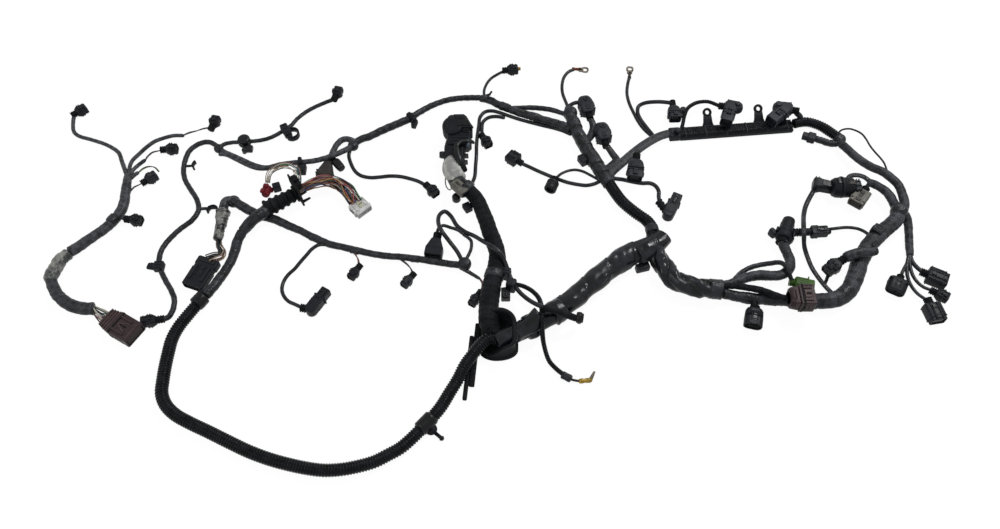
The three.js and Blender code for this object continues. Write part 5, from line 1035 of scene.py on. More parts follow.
    def latch(self, x, length, width, z, height=2.4, slot=2):
        """A spring latch: two rails, the tongue between them with its ramp, and a lock bar across."""
        for side in (-1, 1):
            self.block(length, 1.3, height * 0.8, x, side * (width / 2 + 0.8), z - 0.4, 0.4)
        self.block(length * 0.8, width * 0.8, height * 0.55, x + 0.15 * length, 0, z - 0.3, 0.4, slot)
        self.block(length * 0.24, width * 0.8, height, x + 0.12 * length, 0, z - 0.3, 0.6, slot)
        self.block(1.6, width + 3, height * 0.7, x + 0.72 * length, 0, z - 0.2, 0.4)

    def ribs(self, xs, width, height, z=0.0, thick=1.3, proud=1.2, slot=0):
        """Collars round a housing at each x."""
        for x in xs:
            self.block(thick, width + proud, height + proud * 0.6, x, 0, z - proud * 0.3, 0.4, slot)


SEAT = 4.0  # how far a lead reaches into its plug's rear face


def seated(route, at_start, heading, lift=0.0):
    """The frame of a plug on a route's end: the lead reaches SEAT into its rear face."""
    x, y = ROUTES[route][0 if at_start else -1][:2]
    back = np.radians(heading)
    return Moulding(x - SEAT * np.cos(back), y - SEAT * np.sin(back), lift, heading)


print("a lead reaches", SEAT, "mm into its plug")

# %% [markdown]
# ## The small sealed plugs
# Two-way plugs sit on nearly every thin lead. Behind is a ribbed rubber seal, then a boxy housing with a
# collar, a latch on top and a narrower nose with an open mouth. The same function makes the small and the
# middle size; side ribs and latches keep their real sizes.

# %% Sealed plugs
SMALL = dict(length=26, width=16, height=14, boot=9)
MIDDLE = dict(length=36, width=20, height=16, boot=12)
LARGE = dict(length=38, width=21, height=18, boot=11)
HOODED = dict(length=48, width=25, height=20, boot=11)
SLIM = dict(length=26, width=13.5, height=12.5, boot=9)
BOXY = dict(length=37, width=24, height=16, boot=9)


def sealed_plug(m, length, width, height, boot):
    """The housing swells from a neck to its shoulders: pairs of place along it and share of its width."""
    m.seal(boot, 0.84 * height, height / 2)
    body, mid = length - boot, height / 2
    plan = [(-0.06, 0.55), (0, 0.68), (0.08, 0.76), (0.2, 0.95), (0.26, 1), (0.52, 1), (0.58, 0.97),
        (0.64, 0.88)]
    m.loft([(boot + a * body, 0, mid, w * width, (0.35 + 0.65 * w) * height, 3 * w) for a, w in plan], 0, 5)
    nose = (0.84 * width, 0.88 * height)
    m.cup(0.42 * body, *nose, boot + 0.58 * body, 0, 0.05 * height, wall=1.5, depth=6)
    m.block(4, nose[0] - 6, nose[1] - 6, length - 6, 0, 0.05 * height + 3, 0.5, 2)
    m.pins(length + 2, nose[0] * 0.5, nose[1], 1, 2, 0.05 * height)
    m.ribs((boot + 0.3 * body, boot + 0.48 * body), width - 0.7, height - 0.5, 0.3, 1.1, 0.9)
    m.ribs((boot + 0.78 * body,), *nose, 0.06 * height, 1, 0.7)
    for side in (-1, 1):
        m.block(body * 0.42, 1.3, height * 0.3, boot + 0.56 * body, side * (nose[0] / 2), height * 0.35, 0.4)
    m.latch(boot + 0.2 * body, 0.62 * body, 5, height - 0.3)


def box_plug(m, length, width, height, boot):
    """A square housing: a plain box with a collar, two guide rails and an open mouth."""
    m.seal(boot, 0.8 * height, height / 2)
    m.block(length - boot - 5, width, height, boot, bevel=1.8)
    m.cup(8, width - 2, height - 1.4, length - 8, 0, 0.7, wall=1.8, depth=6, round=2)
    m.block(4, width - 9, height - 8, length - 5.5, 0, 4, 0.6, 2)
    m.ribs((boot + 1.4, length - 6.5), width - 1, height - 0.6, 0.3, 1.4, 1.2)
    m.latch(boot + 1.5, length - boot - 3, 8, height - 0.3)
    for side in (-1, 1):
        m.block(length - boot - 6, 2.4, 1.2, boot + 1, side * (width / 2 - 3), height - 0.3, 0.4)


def bumps(m, x, width, height, size=3.0):
    """Two ears where the hood's lock snaps in."""
    for side in (-1, 1):
        m.block(size * 1.8, size, height * 0.42, x, side * (width / 2 - 0.3), height * 0.3, 1)


def hooded_plug(m, length, width, height, boot, dome_first=True):
    """A box that runs into a rounded hood: the hood's sections shrink by cos(a) as it reaches out.

    The box is at the lead's end, or at the nose when the dome comes first.
    """
    m.seal(boot, 0.6 * height, height / 2, 4)
    body, mid = length - boot, height / 2
    a = np.radians(np.linspace(0, 84, 8))
    share = np.cos(a) ** 0.62
    reach = np.sin(a)
    if dome_first:
        dome = [(boot + body * 0.44 * (1 - r), 0, mid, width * w, height * w, 7 * w)
            for r, w in zip(reach, share)]
        m.loft(dome[::-1] + [(boot + 0.6 * body, 0, mid, width, height, 4)], 0, 7)
        m.cup(0.44 * body, width - 2, height - 2, boot + 0.56 * body, 0, 1, wall=1.8, depth=9, round=3)
        m.block(6, width - 9, height - 9, length - 9, 0, 4.4, 0.6, 2)
        m.ribs((boot + 0.5 * body, boot + 0.62 * body), width - 1, height - 0.8, 0.4, 1.6, 1.4)
        bumps(m, boot + 0.66 * body, width, height)
        m.block(0.3 * body, 7, 1.6, boot + 0.62 * body, 0, height - 0.6, 0.6, 2)
        return
    rows = [(boot - 1, 0, mid, width - 9, height - 7, 3), (boot + 1, 0, mid, width - 5, height - 4, 4)]
    rows += [(boot + 0.12 * body, 0, mid, width - 3, height - 2, 3),
        (boot + 0.3 * body, 0, mid, width - 2, height - 1, 3)]
    rows += [(boot + 0.4 * body, 0, mid, width, height, 5), (boot + 0.56 * body, 0, mid, width, height, 6.5)]
    rows += [(boot + body * (0.56 + 0.44 * r), 0, mid, width * w, height * w, 8 * w)
        for r, w in zip(reach, share)][1:]
    m.loft(rows, 0, 7)
    m.ribs((boot + 0.1 * body, boot + 0.24 * body), width - 2.4, height - 1.8, 0.6, 1.5, 1.4)
    bumps(m, boot + 0.42 * body, width, height)
    m.block(0.26 * body, 7, 1.4, boot + 0.1 * body, 0, height - 1.4, 0.5, 2)
    m.post([(0, 8.6), (1.4, 8.6), (2, 7.4), (2, 4.4), (1.2, 4)], boot + 0.66 * body, 0, height - 0.8, 2)


m = Moulding(0, 0)
sealed_plug(m, **SMALL)
print("shapes in a small plug:", len(m.shapes))

# %% [markdown]
# ## Which plug goes where
# A plug's place is the end of its route, so a table of routes and headings seats them all. Nearly all are
# black nylon, and the finishes differ only a little from one plug to the next.

# %% Seat the plugs
# slots of a moulding: 0 its body, 1 its seal, 2 its raised or inner parts, 3 contacts, 4 an accent
BLACK_SET = [BLACK, RUBBER, SATIN_BLACK, TIN, AMBER]
GREY_SET = [ASH, RUBBER, GREY, TIN, AMBER]
DARK_GREY_SET = [CHARCOAL, RUBBER, GREY, TIN, AMBER]
HOOD_SET = [CHARCOAL, RUBBER, BLACK, TIN]
# node, route, at its start, heading, lift, size, finishes
PLUGS = [
    ("plug_cam", "cam_lead", 0, 42, 0, SMALL, BLACK_SET),
    ("plug_left_2", "wire_two", 0, 78, 0, SMALL, BLACK_SET),
    ("plug_left_3", "wire_three", 0, 5, 0, SMALL, BLACK_SET),
    ("plug_left_4", "wire_four_low", 0, 42, 0, SMALL, DARK_GREY_SET),
    ("plug_left_5", "stub_five", 0, -8, 0, SMALL, BLACK_SET),
    ("plug_sensor", "sensor_cable", 1, 190, 0, dict(length=31, width=16, height=14, boot=11), BLACK_SET),
    ("plug_branch", "branch_cable", 0, 75, 0, SMALL, BLACK_SET),
    ("plug_amber", "amber_lead", 0, 8, 0, SMALL, BLACK_SET),
    ("plug_side", "lower_twin_b", 0, -60, 0, SMALL, BLACK_SET),
    ("plug_mid_lead", "mid_lead", 0, -48, 0, SMALL, BLACK_SET),
    ("plug_injector_1", "inj_wire1", 0, -120, 0, SLIM, BLACK_SET),
    ("plug_injector_2", "inj_wire2", 0, -125, 0, SLIM, DARK_GREY_SET),
    ("plug_injector_3", "inj_wire3", 0, -122, 0, SLIM, BLACK_SET),
    ("plug_end_2", "end_lead_2", 0, -33, 0, SMALL, BLACK_SET),
    ("plug_end_1", "down_three", 0, -28, 0, BOXY, BLACK_SET),
    ("plug_end_3", "end_lead_3", 0, -80, 0, BOXY, BLACK_SET),
    ("plug_grey", "grey_stub", 0, 232, 4, BOXY, GREY_SET),
]


def finish_plug(node, m, finishes):
    """Turns a moulding into a piece, with normals that favour its large faces, and keeps it."""
    name = node.replace("plug_", "connector_") if "plug_" in node else node + "_part"
    made = mesh_object(name, m.shapes, finishes)
    made.modifiers.new("even_normals", "WEIGHTED_NORMAL")
    return keep(made, node)


for node, route, at_start, heading, lift, size, finishes in PLUGS:
    m = seated(route, at_start, heading, lift)
    (box_plug if size is BOXY else sealed_plug)(m, **size)
    if node == "plug_amber":
        m.rod([(0, 6.4), (6, 6.4), (6.6, 5.4), (9, 5.4), (9.6, 4.4)], z=7.5, x=21, slot=4)
    finish_plug(node, m, finishes)

m = seated("square_lead", 1, 142)
box_plug(m, 27, 21, 14, 8)
finish_plug("plug_square", m, BLACK_SET)
m = Moulding(523, -42, 12, 212, -14)
sealed_plug(m, **MIDDLE)
finish_plug("plug_arm", m, BLACK_SET)
for node, route, at_start, heading, lift, size, dome_first in (
    ("plug_rail_1", "coil_lead1", 0, -88, 4, LARGE, True),
    ("plug_middle_1", "ribbon_1", 1, 101, 0, HOODED, False),
    ("plug_middle_2", "ribbon_2", 1, 98, 0, HOODED, False),
    ("plug_middle_3", "ribbon_3", 0, -99, 8, HOODED, True),
):
    m = seated(route, at_start, heading, lift)
    hooded_plug(m, **size, dome_first=dome_first)
    if node == "plug_rail_1":
        m.at(16, 16).post([(0, 11), (1, 12), (6, 12), (7, 10.6), (9, 10), (9.4, 7)])
        m.at(16, 7).block(6, 8, 6, -3, 2, 1, 1)
    finish_plug(node, m, HOOD_SET)
print("plugs:", len(PLUGS) + 6)

# %% [markdown]
# ## The wide plugs
# The two brown plugs and the white, flat and green ones carry many wires each. Their housings are wide
# and shallow. A wire collar guides the wires in, a lever groove crosses the top, and the mouth is at the
# nose. No lettering is moulded on them here.

# %% Wide plugs


def wide_plug(m, length, width, height, collar, wall=2.5, rings=4, teeth=0, arrow=False):
    """A collar for the wires, a dark seal, the lever's rails on a stepped box, and a deep mouth."""
    m.block(collar + 1, 0.76 * width, height - 3, 0, 0, 1, 2.2, taper=1.2)
    for i, x in enumerate(np.linspace(0.12, 0.84, rings) * collar):
        m.block(1.8, (0.83 + 0.16 * i / rings) * width, height - 1.6, x, 0, 0.6, 0.5, 2)
    m.block(3.6, width, height, collar, bevel=1)
    m.block(2.6, width + 0.3, height + 0.3, collar + 3.2, 0, 0, 0.5, 1)
    start = collar + 5.4
    m.cup(length - 5.4, width, height, start, wall=wall, depth=10, bevel=1.2, round=2)
    m.block(8, width - 2 * wall - 1.4, height - 2 * wall - 1, length + collar - 9, 0, wall + 0.5, 0.6)
    if arrow:
        m.block(length * 0.34, 1.6, 1, start + 5, 0, height - 0.2, 0.3, 1)
        for side in (-1, 1):
            m.at(start + 2, 0, 0, side * 24).block(length * 0.5, 1.8, 1, 0, 0, height - 0.3, 0.3, 2)
            m.at(start + 9, 0, 0, side * 24).block(length * 0.34, 1.2, 0.8, 0, 0, height - 0.2, 0.3)
    else:
        m.block(length * 0.4, 0.36 * width, 1.4, start + 1, 0, height - 0.3, 0.5, 2)
        m.block(length * 0.3, 0.12 * width, 0.8, start + 3, 0, height + 0.9, 0.3, 1)
    for side in (-1, 1):
        m.block(length * 0.56, 3.2, 1.9, collar + 5, side * 0.3 * width, height - 0.3, 0.5)
        for k in range(5):
            m.block(1.6, 1.4, height * 0.62, start + 2 + 0.12 * length * k, side * (width / 2 - 0.2),
                height * 0.18, 0.4, 2)
    m.block(1.6, width * 0.7, 0.9, length + collar - 4.4, 0, height - 0.2, 0.3, 2)
    for i in range(teeth):
        m.block(3, 2.6, 2.2, collar + 4.5 + 5 * i, width / 2 - 3, height - 0.4, 0.5)


def green_plug(m, length, width, height, boot):
    """A round housing: a barrel with flats, four lock ribs and a bright ring in its mouth."""
    m.seal(boot, 0.78 * height, height / 2)
    mid = height / 2
    m.loft([(boot - 1, 0, mid, 14, 11, 5), (boot, 0, mid, width - 2, height - 2, 6),
        (boot + 2, 0, mid, width, height, 7)]
           + [(length - 9, 0, mid, width, height, 7), (length - 8, 0, mid, width - 1, height - 1, 7)], 0, 7)
    m.cup(10, width - 0.6, height - 0.4, length - 10, wall=2, depth=8, round=7)
    m.cup(7, width - 4.8, height - 5, length - 8.6, 0, 2.5, wall=1.3, depth=3, round=5, slot=2)
    for y in (-5, -1.7, 1.7, 5):
        m.block(length - boot - 12, 1.2, 1.2, boot + 3, y, height - 0.7, 0.4)
    m.ribs((length - 10,), width - 0.4, height - 0.2, 0.1, 1.5)
    for side in (-1, 1):
        m.block(3, 1.6, 5, length - 5, side * 2.2, 5.5, 0.4, 2)


def white_plug(m, length, width, height):
    """A shallow box with a flange at its mouth, and a plate, two stops and nine fine ribs on top."""
    m.block(length - 9, width, height, 0, bevel=0.8)
    m.cup(9, width - 1, height - 0.8, length - 10, 0, 0.4, wall=1.6, depth=2)
    m.block(13, 9, 1.1, 3, 2, height - 0.4, 0.4, 1)
    m.block(13, 3, 2, 4, -8, height - 0.8, 0.5)
    m.block(11, 1.2, 3.4, 5, -width / 2, 5, 0.3, 2)
    m.block(7, 4, 1.4, 10, 9, height - 0.6, 0.4)
    m.block(3.4, width + 2.6, height - 2, length - 9, 0, 1, 0.8)
    for i in range(9):
        m.block(6.5, 0.9, 0.9, 1, (i - 4) * width / 9.6, height - 0.3, 0.3)
    m.block(1.6, width - 2, 1.1, 9, 0, height - 0.4, 0.4)


def flat_plug(m, length, width, height, block):
    """A wire guard, a neck and a wide housing with two rails, a latch and two rows of contacts."""
    m.block(block + 1, width + 1.6, height - 1, 0, bevel=2)
    m.block(block * 0.5, width - 8, 1.6, 2, 0, height - 1.3, 0.6, 2)
    m.block(6, width - 2.6, height - 1.4, block - 1, 0, 0.7)
    m.cup(length - 5, width, height, block + 5, wall=2, depth=9, bevel=1, round=2.4)
    m.block(6, width - 8, height - 8, length + block - 9, 0, 4, 0.6, 2)
    for side in (-1, 1):
        m.block(length * 0.68, 4.4, 2.4, block + 2, side * 0.3 * width, height - 0.4, 0.8)
    m.latch(block + 1, 0.5 * length, 7, height - 0.4)
    m.pins(length + block, width * 0.7, height, 2, 7)


m = seated("tail_wires", 0, -30)
wide_plug(m, 36, 34, 18, 18, arrow=True)
# the raised parts of the brown plugs take the lighter brown of painted highlight
finish_plug("plug_brown_left", m, [BROWN, RUBBER, BROWN_RIB_HIGHLIGHT, TIN])
m = seated("low_branch_a", 0, 0, 16.3)
wide_plug(m, 21, 32, 24, 13, rings=0, teeth=3)
m.loft([(0, 0, 12, 18, 16, 8), (1, 0, 12, 27, 22, 11), (4, 0, 12, 31, 24.4, 12), (6, 0, 12, 31, 24.4, 12)]
       + [(7, 0, 12, 27, 22, 9), (9, 0, 12, 25, 20, 7)], 0, 8)
for x in (19, 24):
    m.block(2.2, 1.2, 8, x, -16, 7, 0.3, 1)
finish_plug("plug_brown_right", m, [BROWN, RUBBER, BROWN_RIB_HIGHLIGHT, TIN])
m = seated("arc", 0, -14)
green_plug(m, 34, 20, 16, 8)
finish_plug("plug_green", m, [GREEN, GREEN, LIME, TIN])
m = seated("bundle", 0, -46)
white_plug(m, 24, 27, 12)
finish_plug("plug_white", m, [WHITE, CREAM, GREY, TIN])
m = seated("leg_wires", 0, -110)
flat_plug(m, 36, 32, 14, 14)
finish_plug("plug_flat", m, [BLACK, RUBBER, SATIN_BLACK, TIN])

# %% [markdown]
# ## Plugs that turn a corner
# Elbow plugs bend the cable sideways, and the hooded rail plugs come down over the duct. Each is two
# mouldings in two frames that share the corner, so the angle between them is a single number.

# %% Elbows and hoods


def elbow_plug(m, turn, boot=15, length=36, width=17, height=16):
    """A seal runs into a round corner post, and the housing leaves the post turned by the given angle."""
    m.seal(boot - 2, 0.78 * height, height / 2, 4)
    m.rod([(0, 11), (2, 12.5), (4, 12.5)], z=height / 2, x=boot - 5)
    m.post([(0, width - 3), (1, width), (height - 1.8, width), (height - 0.6, width - 3)], boot)
    h = m.at(boot, 0, 0, turn)
    h.block(0.55 * length, width, height, 0, bevel=1.2)
    h.cup(0.47 * length, width - 2, height - 2, 0.53 * length, 0, 1, wall=1.7, depth=8)
    h.block(5, width - 8, height - 8, length - 8, 0, 4, 0.5, 2)
    h.block(2.6, width + 2.6, height - 1, 0.55 * length, 0, 0.3, 0.6)
    h.ribs((0.2 * length, 0.32 * length), width - 0.8, height - 0.8, 0.4)
    h.block(5, 4, height * 0.5, 0.3 * length, width / 2, 4, 1)
    h.latch(0.4 * length, 0.5 * length, 5.2, height - 0.4)
    h.pins(length + 1, width * 0.5, height, 2, 2)


def hood_plug(m, turn, length=38, width=21, height=18, boot=11, knob=9, place=0.75):
    """The lead comes in at the side of the crown; the nose turns away under a smooth hood."""
    m.seal(boot, 0.7 * height, height / 2, 4)
    body, mid = length - boot, height / 2
    a = np.radians(np.linspace(0, 84, 8))
    share = np.cos(a) ** 0.6
    rows = [(boot - 1, 0, mid, width - 8, height - 7, 3), (boot + 1.6, 0, mid, width - 3, height - 3, 4)]
    rows += [(boot + 4, 0, mid, width, height - 0.6, 5)]
    rows += [(boot + body * (0.5 + 0.5 * np.sin(t)), 0, mid, width * w, (height - 0.6) * w, 7 * w)
        for t, w in zip(a, share)]
    m.loft(rows, 0, 7)
    m.ribs((boot + 2,), width - 3, height - 2.4, 0.7, 1.6, 1.4)
    n = m.at(0.5 * length, 0, 0, turn)
    wide, nose = 0.9 * width + 3, 0.95 * length
    rows = [(-8, 0, mid, wide - 5, height - 5, 5), (-5, 0, mid, wide - 1, height - 1.6, 6),
        (-1, 0, mid, wide, height, 5)]
    rows += [(11, 0, mid, wide, height, 4), (14, 0, mid, wide - 1, height - 0.6, 3)]
    n.loft(rows, 0, 7)
    n.cup(nose - 14, wide - 2.4, height - 1.8, 13, 0, 0.7, wall=1.8, depth=8, round=3)
    n.block(6, width - 9, height - 9, nose - 9, 0, 4.5, 0.5, 2)
    n.ribs((12.4, 18), wide - 1.6, height - 1.2, 0.6, 1.6, 1.4)
    bumps(n, 20, wide - 2.4, height)
    n.latch(0.26 * length, 0.36 * length, 6, height - 0.4, 3)
    m.post([(0, knob), (height + 0.5, knob), (height + 2, knob - 1), (height + 2.6, knob - 3.5)],
        place * length)


for node, route, heading, turn, sizes in (
    ("plug_elbow", "elbow_lead", -10, 69, dict(width=16)),
    ("plug_corner", "right_lead", -62, 125, dict(boot=26, length=38)),
):
    m = seated(route, 0, heading)
    elbow_plug(m, turn, **sizes)
    finish_plug(node, m, BLACK_SET)
m = seated("coil_lead2", 0, -8, 13.3)
hood_plug(m, -102)
finish_plug("plug_rail_2", m, HOOD_SET)
m = seated("hood_stub", 1, 168, 13.3)
hood_plug(m, 55, length=41, width=22, knob=11, place=0.82)
finish_plug("plug_rail_3", m, HOOD_SET)

# %% [markdown]
# ## Round and odd plugs
# The rest each have a form of their own: a flared boot, a sensor can in its clamp, a stack of discs, a
# pair of round ways and a round socket that faces the camera.

# %% Odd plugs
m = seated("boot_lead", 1, -98)
m.seal(13, 13, 8, 5)
m.block(18, 15, 16, 11, bevel=2, taper=26 / 15)
m.cup(12, 26, 16, 28, wall=2, depth=7)
m.block(5, 17, 7, 30, 0, 4.5, 0.5, 2)
m.ribs((26,), 24, 15, 0.5, 1.8)
m.at(22, 0, 15.6, 0, 90).rod([(0, 8), (0.6, 8), (1, 6.5)], slot=2)
finish_plug("plug_boot", m, BLACK_SET)

m = seated("low_stub", 0, -104)
m.seal(8, 14, 9)
m.loft([(4, 0, 9, 17, 14, 6), (6, 0, 9, 22, 16, 7), (9, 0, 9, 24.6, 17.6, 8), (21, 0, 9, 25.6, 18, 8)], 0, 7)
m.cup(13, 25.6, 18, 19, wall=2, depth=8, round=7)
m.block(5, 14, 8, 22, 0, 5, 0.5, 2)
m.latch(14, 13, 7, 17.4)
m.pins(32, 12, 18, 2, 3)
finish_plug("plug_low", m, BLACK_SET)

m = seated("up_branch", 0, 66)
m.seal(12, 18, 13, 2)
m.rod([(7, 19), (8.4, 23), (10, 24.4), (17, 24.4), (17.8, 22), (19.4, 22), (20, 23), (24, 23), (25, 20.6)]
      + [(36, 20.4), (37, 19), (42, 18.6), (45, 17.6), (46.4, 15), (46.4, 10), (44, 9)], z=13)
m.at(12, 11, 2, 60).block(12, 8, 15, 0, 0, 0, 2)
m.at(8, -9, 3, -30).block(9, 6, 14, 0, 0, 0, 2)
neck = m.at(25, -6, 0, -63)
neck.seal(16, 13, 10, 4, 0)
neck.rod([(14, 10), (20, 11.5), (30, 11.5), (33, 13)], z=10)
neck.block(11, 15, 15, 32, 0, 2, 1.2)
neck.block(15, 13.6, 13.4, 42, 0, 2.8, 1.2)
neck.rod([(56, 10), (60, 9), (62, 6)], z=8.6, slot=1)
neck.ribs((35, 40), 14, 14, 2.4)
neck.latch(38, 16, 5, 16.4)
for angle in (-1, 1):
    m.block(8, 3, 16, 14, angle * 12.2, 5, 1)
finish_plug("sensor_right", m, BLACK_SET)

m = Moulding(500, 84, 0, 2)
bar = m.at(3, 11, 3, -17)
bar.loft([(0, 0, 9, 15, 13, 3), (1.6, 0, 9, 19, 17, 4), (9, 0, 9, 20, 18, 4), (12, 0, 9.4, 18, 16, 4),
    (34, 0, 9.4, 17, 15, 4)], 0, 6)
bar.ribs((2, 6), 19, 16.6, 0.6, 1.4, 1.2)
bar.block(17, 10, 1.2, 13, 0, 16.6, 0.5, 2)
x = np.linspace(29, 62, 133)
barrel = 31.5 * (1 - (np.abs(x - 45) / 17.6) ** 5 * 0.3) - 0.5 * (1 - np.cos(2 * np.pi * x / 4.2))
m.rod([(27, 16)] + list(zip(x, barrel)) + [(63, 19)], z=15.6)
m.rod([(40, 31.8), (41, 33), (43.4, 33), (44.4, 31.8)], z=16.4)
m.block(11, 20, 19, 60, -2, 5, 2)
m.ribs((61, 65, 69), 19, 18, 5.4, 1.3)
m.block(5, 12, 2.2, 34, 2, 29.6, 0.8, 2)
m.block(9, 6, 1, 50, -2, 30, 0.4, 4)
m.latch(58, 13, 6, 24)
finish_plug("plug_ribbed", m, [BLACK, RUBBER, SATIN_BLACK, TIN, GREY])

m = seated("down_oval", 0, 240)
m.seal(8, 11, 8)
m.loft([(7, 0, 8, 22, 12, 6), (8.4, 0, 8, 27, 15.4, 7.6), (14, 0, 8, 28, 16, 8), (22, 0, 8, 28, 16, 8)]
       + [(29.4, 0, 8, 27, 15, 7.4), (31, 0, 8, 25, 13, 6.4), (31, 0, 8, 22, 10, 5),
           (24, 0, 8, 21.6, 9.6, 4.8)], 0, 6)
for side in (-1, 1):
    m.rod([(22, 7.4), (29, 7.4), (29.6, 6.4), (29.6, 3.6), (25, 3.4)], side * 5.6, 8, 2)
m.ribs((12,), 26, 15.2, 0.4, 1.6)
m.latch(12, 12, 6, 15.6)
finish_plug("plug_oval", m, BLACK_SET)

m = seated("round_lead", 1, -112)
m.seal(8, 13, 9.5)
m.rod([(7, 14), (8, 18), (9, 19), (13, 19), (13.4, 17.6), (15, 17.6), (15.4, 19), (23, 19), (24, 18)]
      + [(24, 12.4), (23.4, 11.2), (12.5, 11)], z=9.5)
m.rod([(12, 4.4), (19, 4.4), (19.6, 3.4)], z=9.5, slot=2)
m.latch(10, 8, 5, 17.8)
finish_plug("plug_round", m, BLACK_SET)

# %% [markdown]
# ## The large plug of the control unit
# It is the biggest housing on the harness: a ribbed body, a round boss where the lever turns, a flat
# plate with a square window on top, a lever with a hook, and a black loop of cable tucked in at its side.

# %% Control unit plug
m = Moulding(-38, 131, 1, 91, 14)
m.loft([(0, 6, 12, 27, 20, 5), (2, 6, 12, 31, 24, 6), (30, 4, 12, 33, 24, 5), (40, 0, 12, 36, 24, 4)], 0, 6)
m.loft([(30, -3, 13, 32, 24, 5), (33, -3, 13.5, 37, 27, 4), (66, -3, 13.5, 37, 27, 4),
    (79, 0, 13.5, 30, 27, 4), (82, 0, 13, 26, 24, 4)], 0, 6)
BOSS_X, BOSS_Y, BOSS_RIM = 62, 7, 15.7
m.post([(0, 30), (1, 31.6), (28, 31.6), (30, 30), (31.4, 26), (31.6, 18), (30.6, 16)], BOSS_X, BOSS_Y)
for angle in np.radians(np.arange(-70, 200, 11)):
    rib = m.at(BOSS_X + BOSS_RIM * np.cos(angle), BOSS_Y + BOSS_RIM * np.sin(angle), 3)
    rib.post([(0, 1.4), (0.6, 1.9), (24, 1.9), (24.6, 1.2)])
for i in range(5):
    m.block(1.6, 30, 1.4, 37 + 4.6 * i, -5, 26.6, 0.5)
    m.block(2.2, 35, 15, 6 + 10.6 * i, 2 - i, 4, 0.8)
m.loft([(57, -12, 28, 24, 4.6, 2), (58, -12, 28.4, 26, 6, 2), (78, -3, 28.6, 19, 6, 2),
    (80, -2.5, 28.4, 17, 4.6, 2)], 0, 5)
m.loft([(60, -11, 31.6, 18, 1.6, 0.7), (61, -11, 31.8, 19, 1.8, 0.7), (76, -4, 32, 14, 1.8, 0.7),
    (77, -3.6, 32, 13, 1.4, 0.7)], 2, 5)
m.block(2, 7, 0.6, 71, -6, 32.6, 0.2, 1)
m.block(20, 3, 8, 44, -22, 18, 1)
m.block(14, 10, 1.4, 50, -14, 27.4, 0.5, 2)
m.block(3, 12, 4, 52, -13, 26.6, 0.8, 1)
strap = [(-13, 160, 27), (-20, 159, 33), (-32, 157, 35), (-39, 149, 35), (-38, 135, 34), (-34, 122, 31),
    (-27, 114, 24)]
m.strand(strap, 8, "flat", 2, (0.9, 1, 1, 1.15, 1.3, 1.2), seed=6)
m.strand([(-22, 172, 30), (-21, 160, 32), (-23, 147, 31)], 6, "cable", 4, seed=4)
m.strand([(-44, 140, 28), (-37, 128, 29), (-31, 118, 25), (-26, 108, 20)], 10, "cable", 1, seed=5)
m.rod([(0, 6), (1, 9), (9, 9), (10, 6)], x=14, y=24, z=14, slot=2)
m.block(8, 8, 10, 14, 21, 9, 1.6, 2)
finish_plug("plug_control_unit", m, [BLACK, RUBBER, SATIN_BLACK, TIN, SLATE])
print("shapes in the control unit plug:", len(m.shapes))

# %% [markdown]
# ## Rail, ring terminals, boot and shell
# The duct carries a corrugated hose between clamps, and two bolt tabs lean out of it. A hole needs a ring
# that closes both ways: round the bolt and round its own section. The same ring makes the eyes of the
# two terminals.

# %% Rail and terminals


def eye(m, outer, inner, thick, x, z=0.0, slot=0, square=0.0):
    """A flat ring about a standing axis: a rounded section turned about that axis, closed both ways.

    Its radius is divided by (cos^4 + sin^4) to the power square, which gives the ring four soft corners.
    """
    stations, around = 32, 16
    turn = np.linspace(0, 2 * np.pi, stations, endpoint=False)[:, None]
    a = np.linspace(0, 2 * np.pi, around, endpoint=False)[None]
    mean, half = (outer + inner) / 4, (outer - inner) / 4
    out = mean + half * np.sign(np.cos(a)) * np.abs(np.cos(a)) ** 0.35
    out = out / (np.cos(turn) ** 4 + np.sin(turn) ** 4) ** square
    up = z + thick / 2 + thick / 2 * np.sign(np.sin(a)) * np.abs(np.sin(a)) ** 0.35
    points = np.stack(np.broadcast_arrays(x + out * np.cos(turn), out * np.sin(turn), up), -1).reshape(-1, 3)
    i, j = np.meshgrid(np.arange(stations), np.arange(around), indexing="ij")
    k, l = (i + 1) % stations, (j + 1) % around
    quads = np.stack([i * around + j, k * around + j, k * around + l, i * around + l], -1).reshape(-1, 4)
    m.shapes.append((points @ m.turn.T + m.origin, quads, [], slot))


RAIL_LENGTH, RAIL_WIDTH, RAIL_HEIGHT = 201, 19, 13
m = Moulding(295, 197, 0, 5.4)
m.block(RAIL_LENGTH - 1, RAIL_WIDTH - 1, 6.4, 0.5, bevel=1)
x = np.arange(8, RAIL_LENGTH - 3, 0.6)
wave = 0.6 * np.tanh(2.4 * np.sin(2 * np.pi * x / 4.2))
m.loft([(a, -0.4, 6.8, 17 + w, 11.2 + w, 4.6) for a, w in zip(x, wave)], 2, 6)
for a in np.arange(24, RAIL_LENGTH, 33):
    m.block(2.6, RAIL_WIDTH - 0.4, RAIL_HEIGHT - 0.2, a, 0, 0, 0.7)
m.block(17, RAIL_WIDTH, RAIL_HEIGHT, 0, bevel=1.4)
m.block(8, RAIL_WIDTH - 4, 1.4, 3, 0, RAIL_HEIGHT - 0.6, 0.5)
for side, wall in ((-1, 6.4), (1, 11)):
    m.block(RAIL_LENGTH - 20, 1.8, wall, 18, side * (RAIL_WIDTH / 2 - 0.9), 0, 0.6)
m.post([(0, 8), (17, 8), (17.6, 9.6), (20, 9.6), (21, 7)], 12, -2)
for a in (66, 149):
    tab = m.at(a, RAIL_WIDTH / 2 - 4, 1, 90, 32)
    tab.loft([(0, 0, 1.6, 25, 2.8, 1), (5, 0, 1.6, 21, 3, 1), (14, 0, 1.6, 15, 3, 1),
        (25.6, 0, 1.6, 13, 3, 1)], 0, 4)
    for side in (-1, 1):
        tab.block(20, 1.6, 5.4, 0, side * 5.6, 0.1, 0.5, taper=0.6)
    eye(tab, 14.6, 6.5, 3.2, 30)
    eye(tab, 10.6, 6.9, 1.2, 30, 2.8)
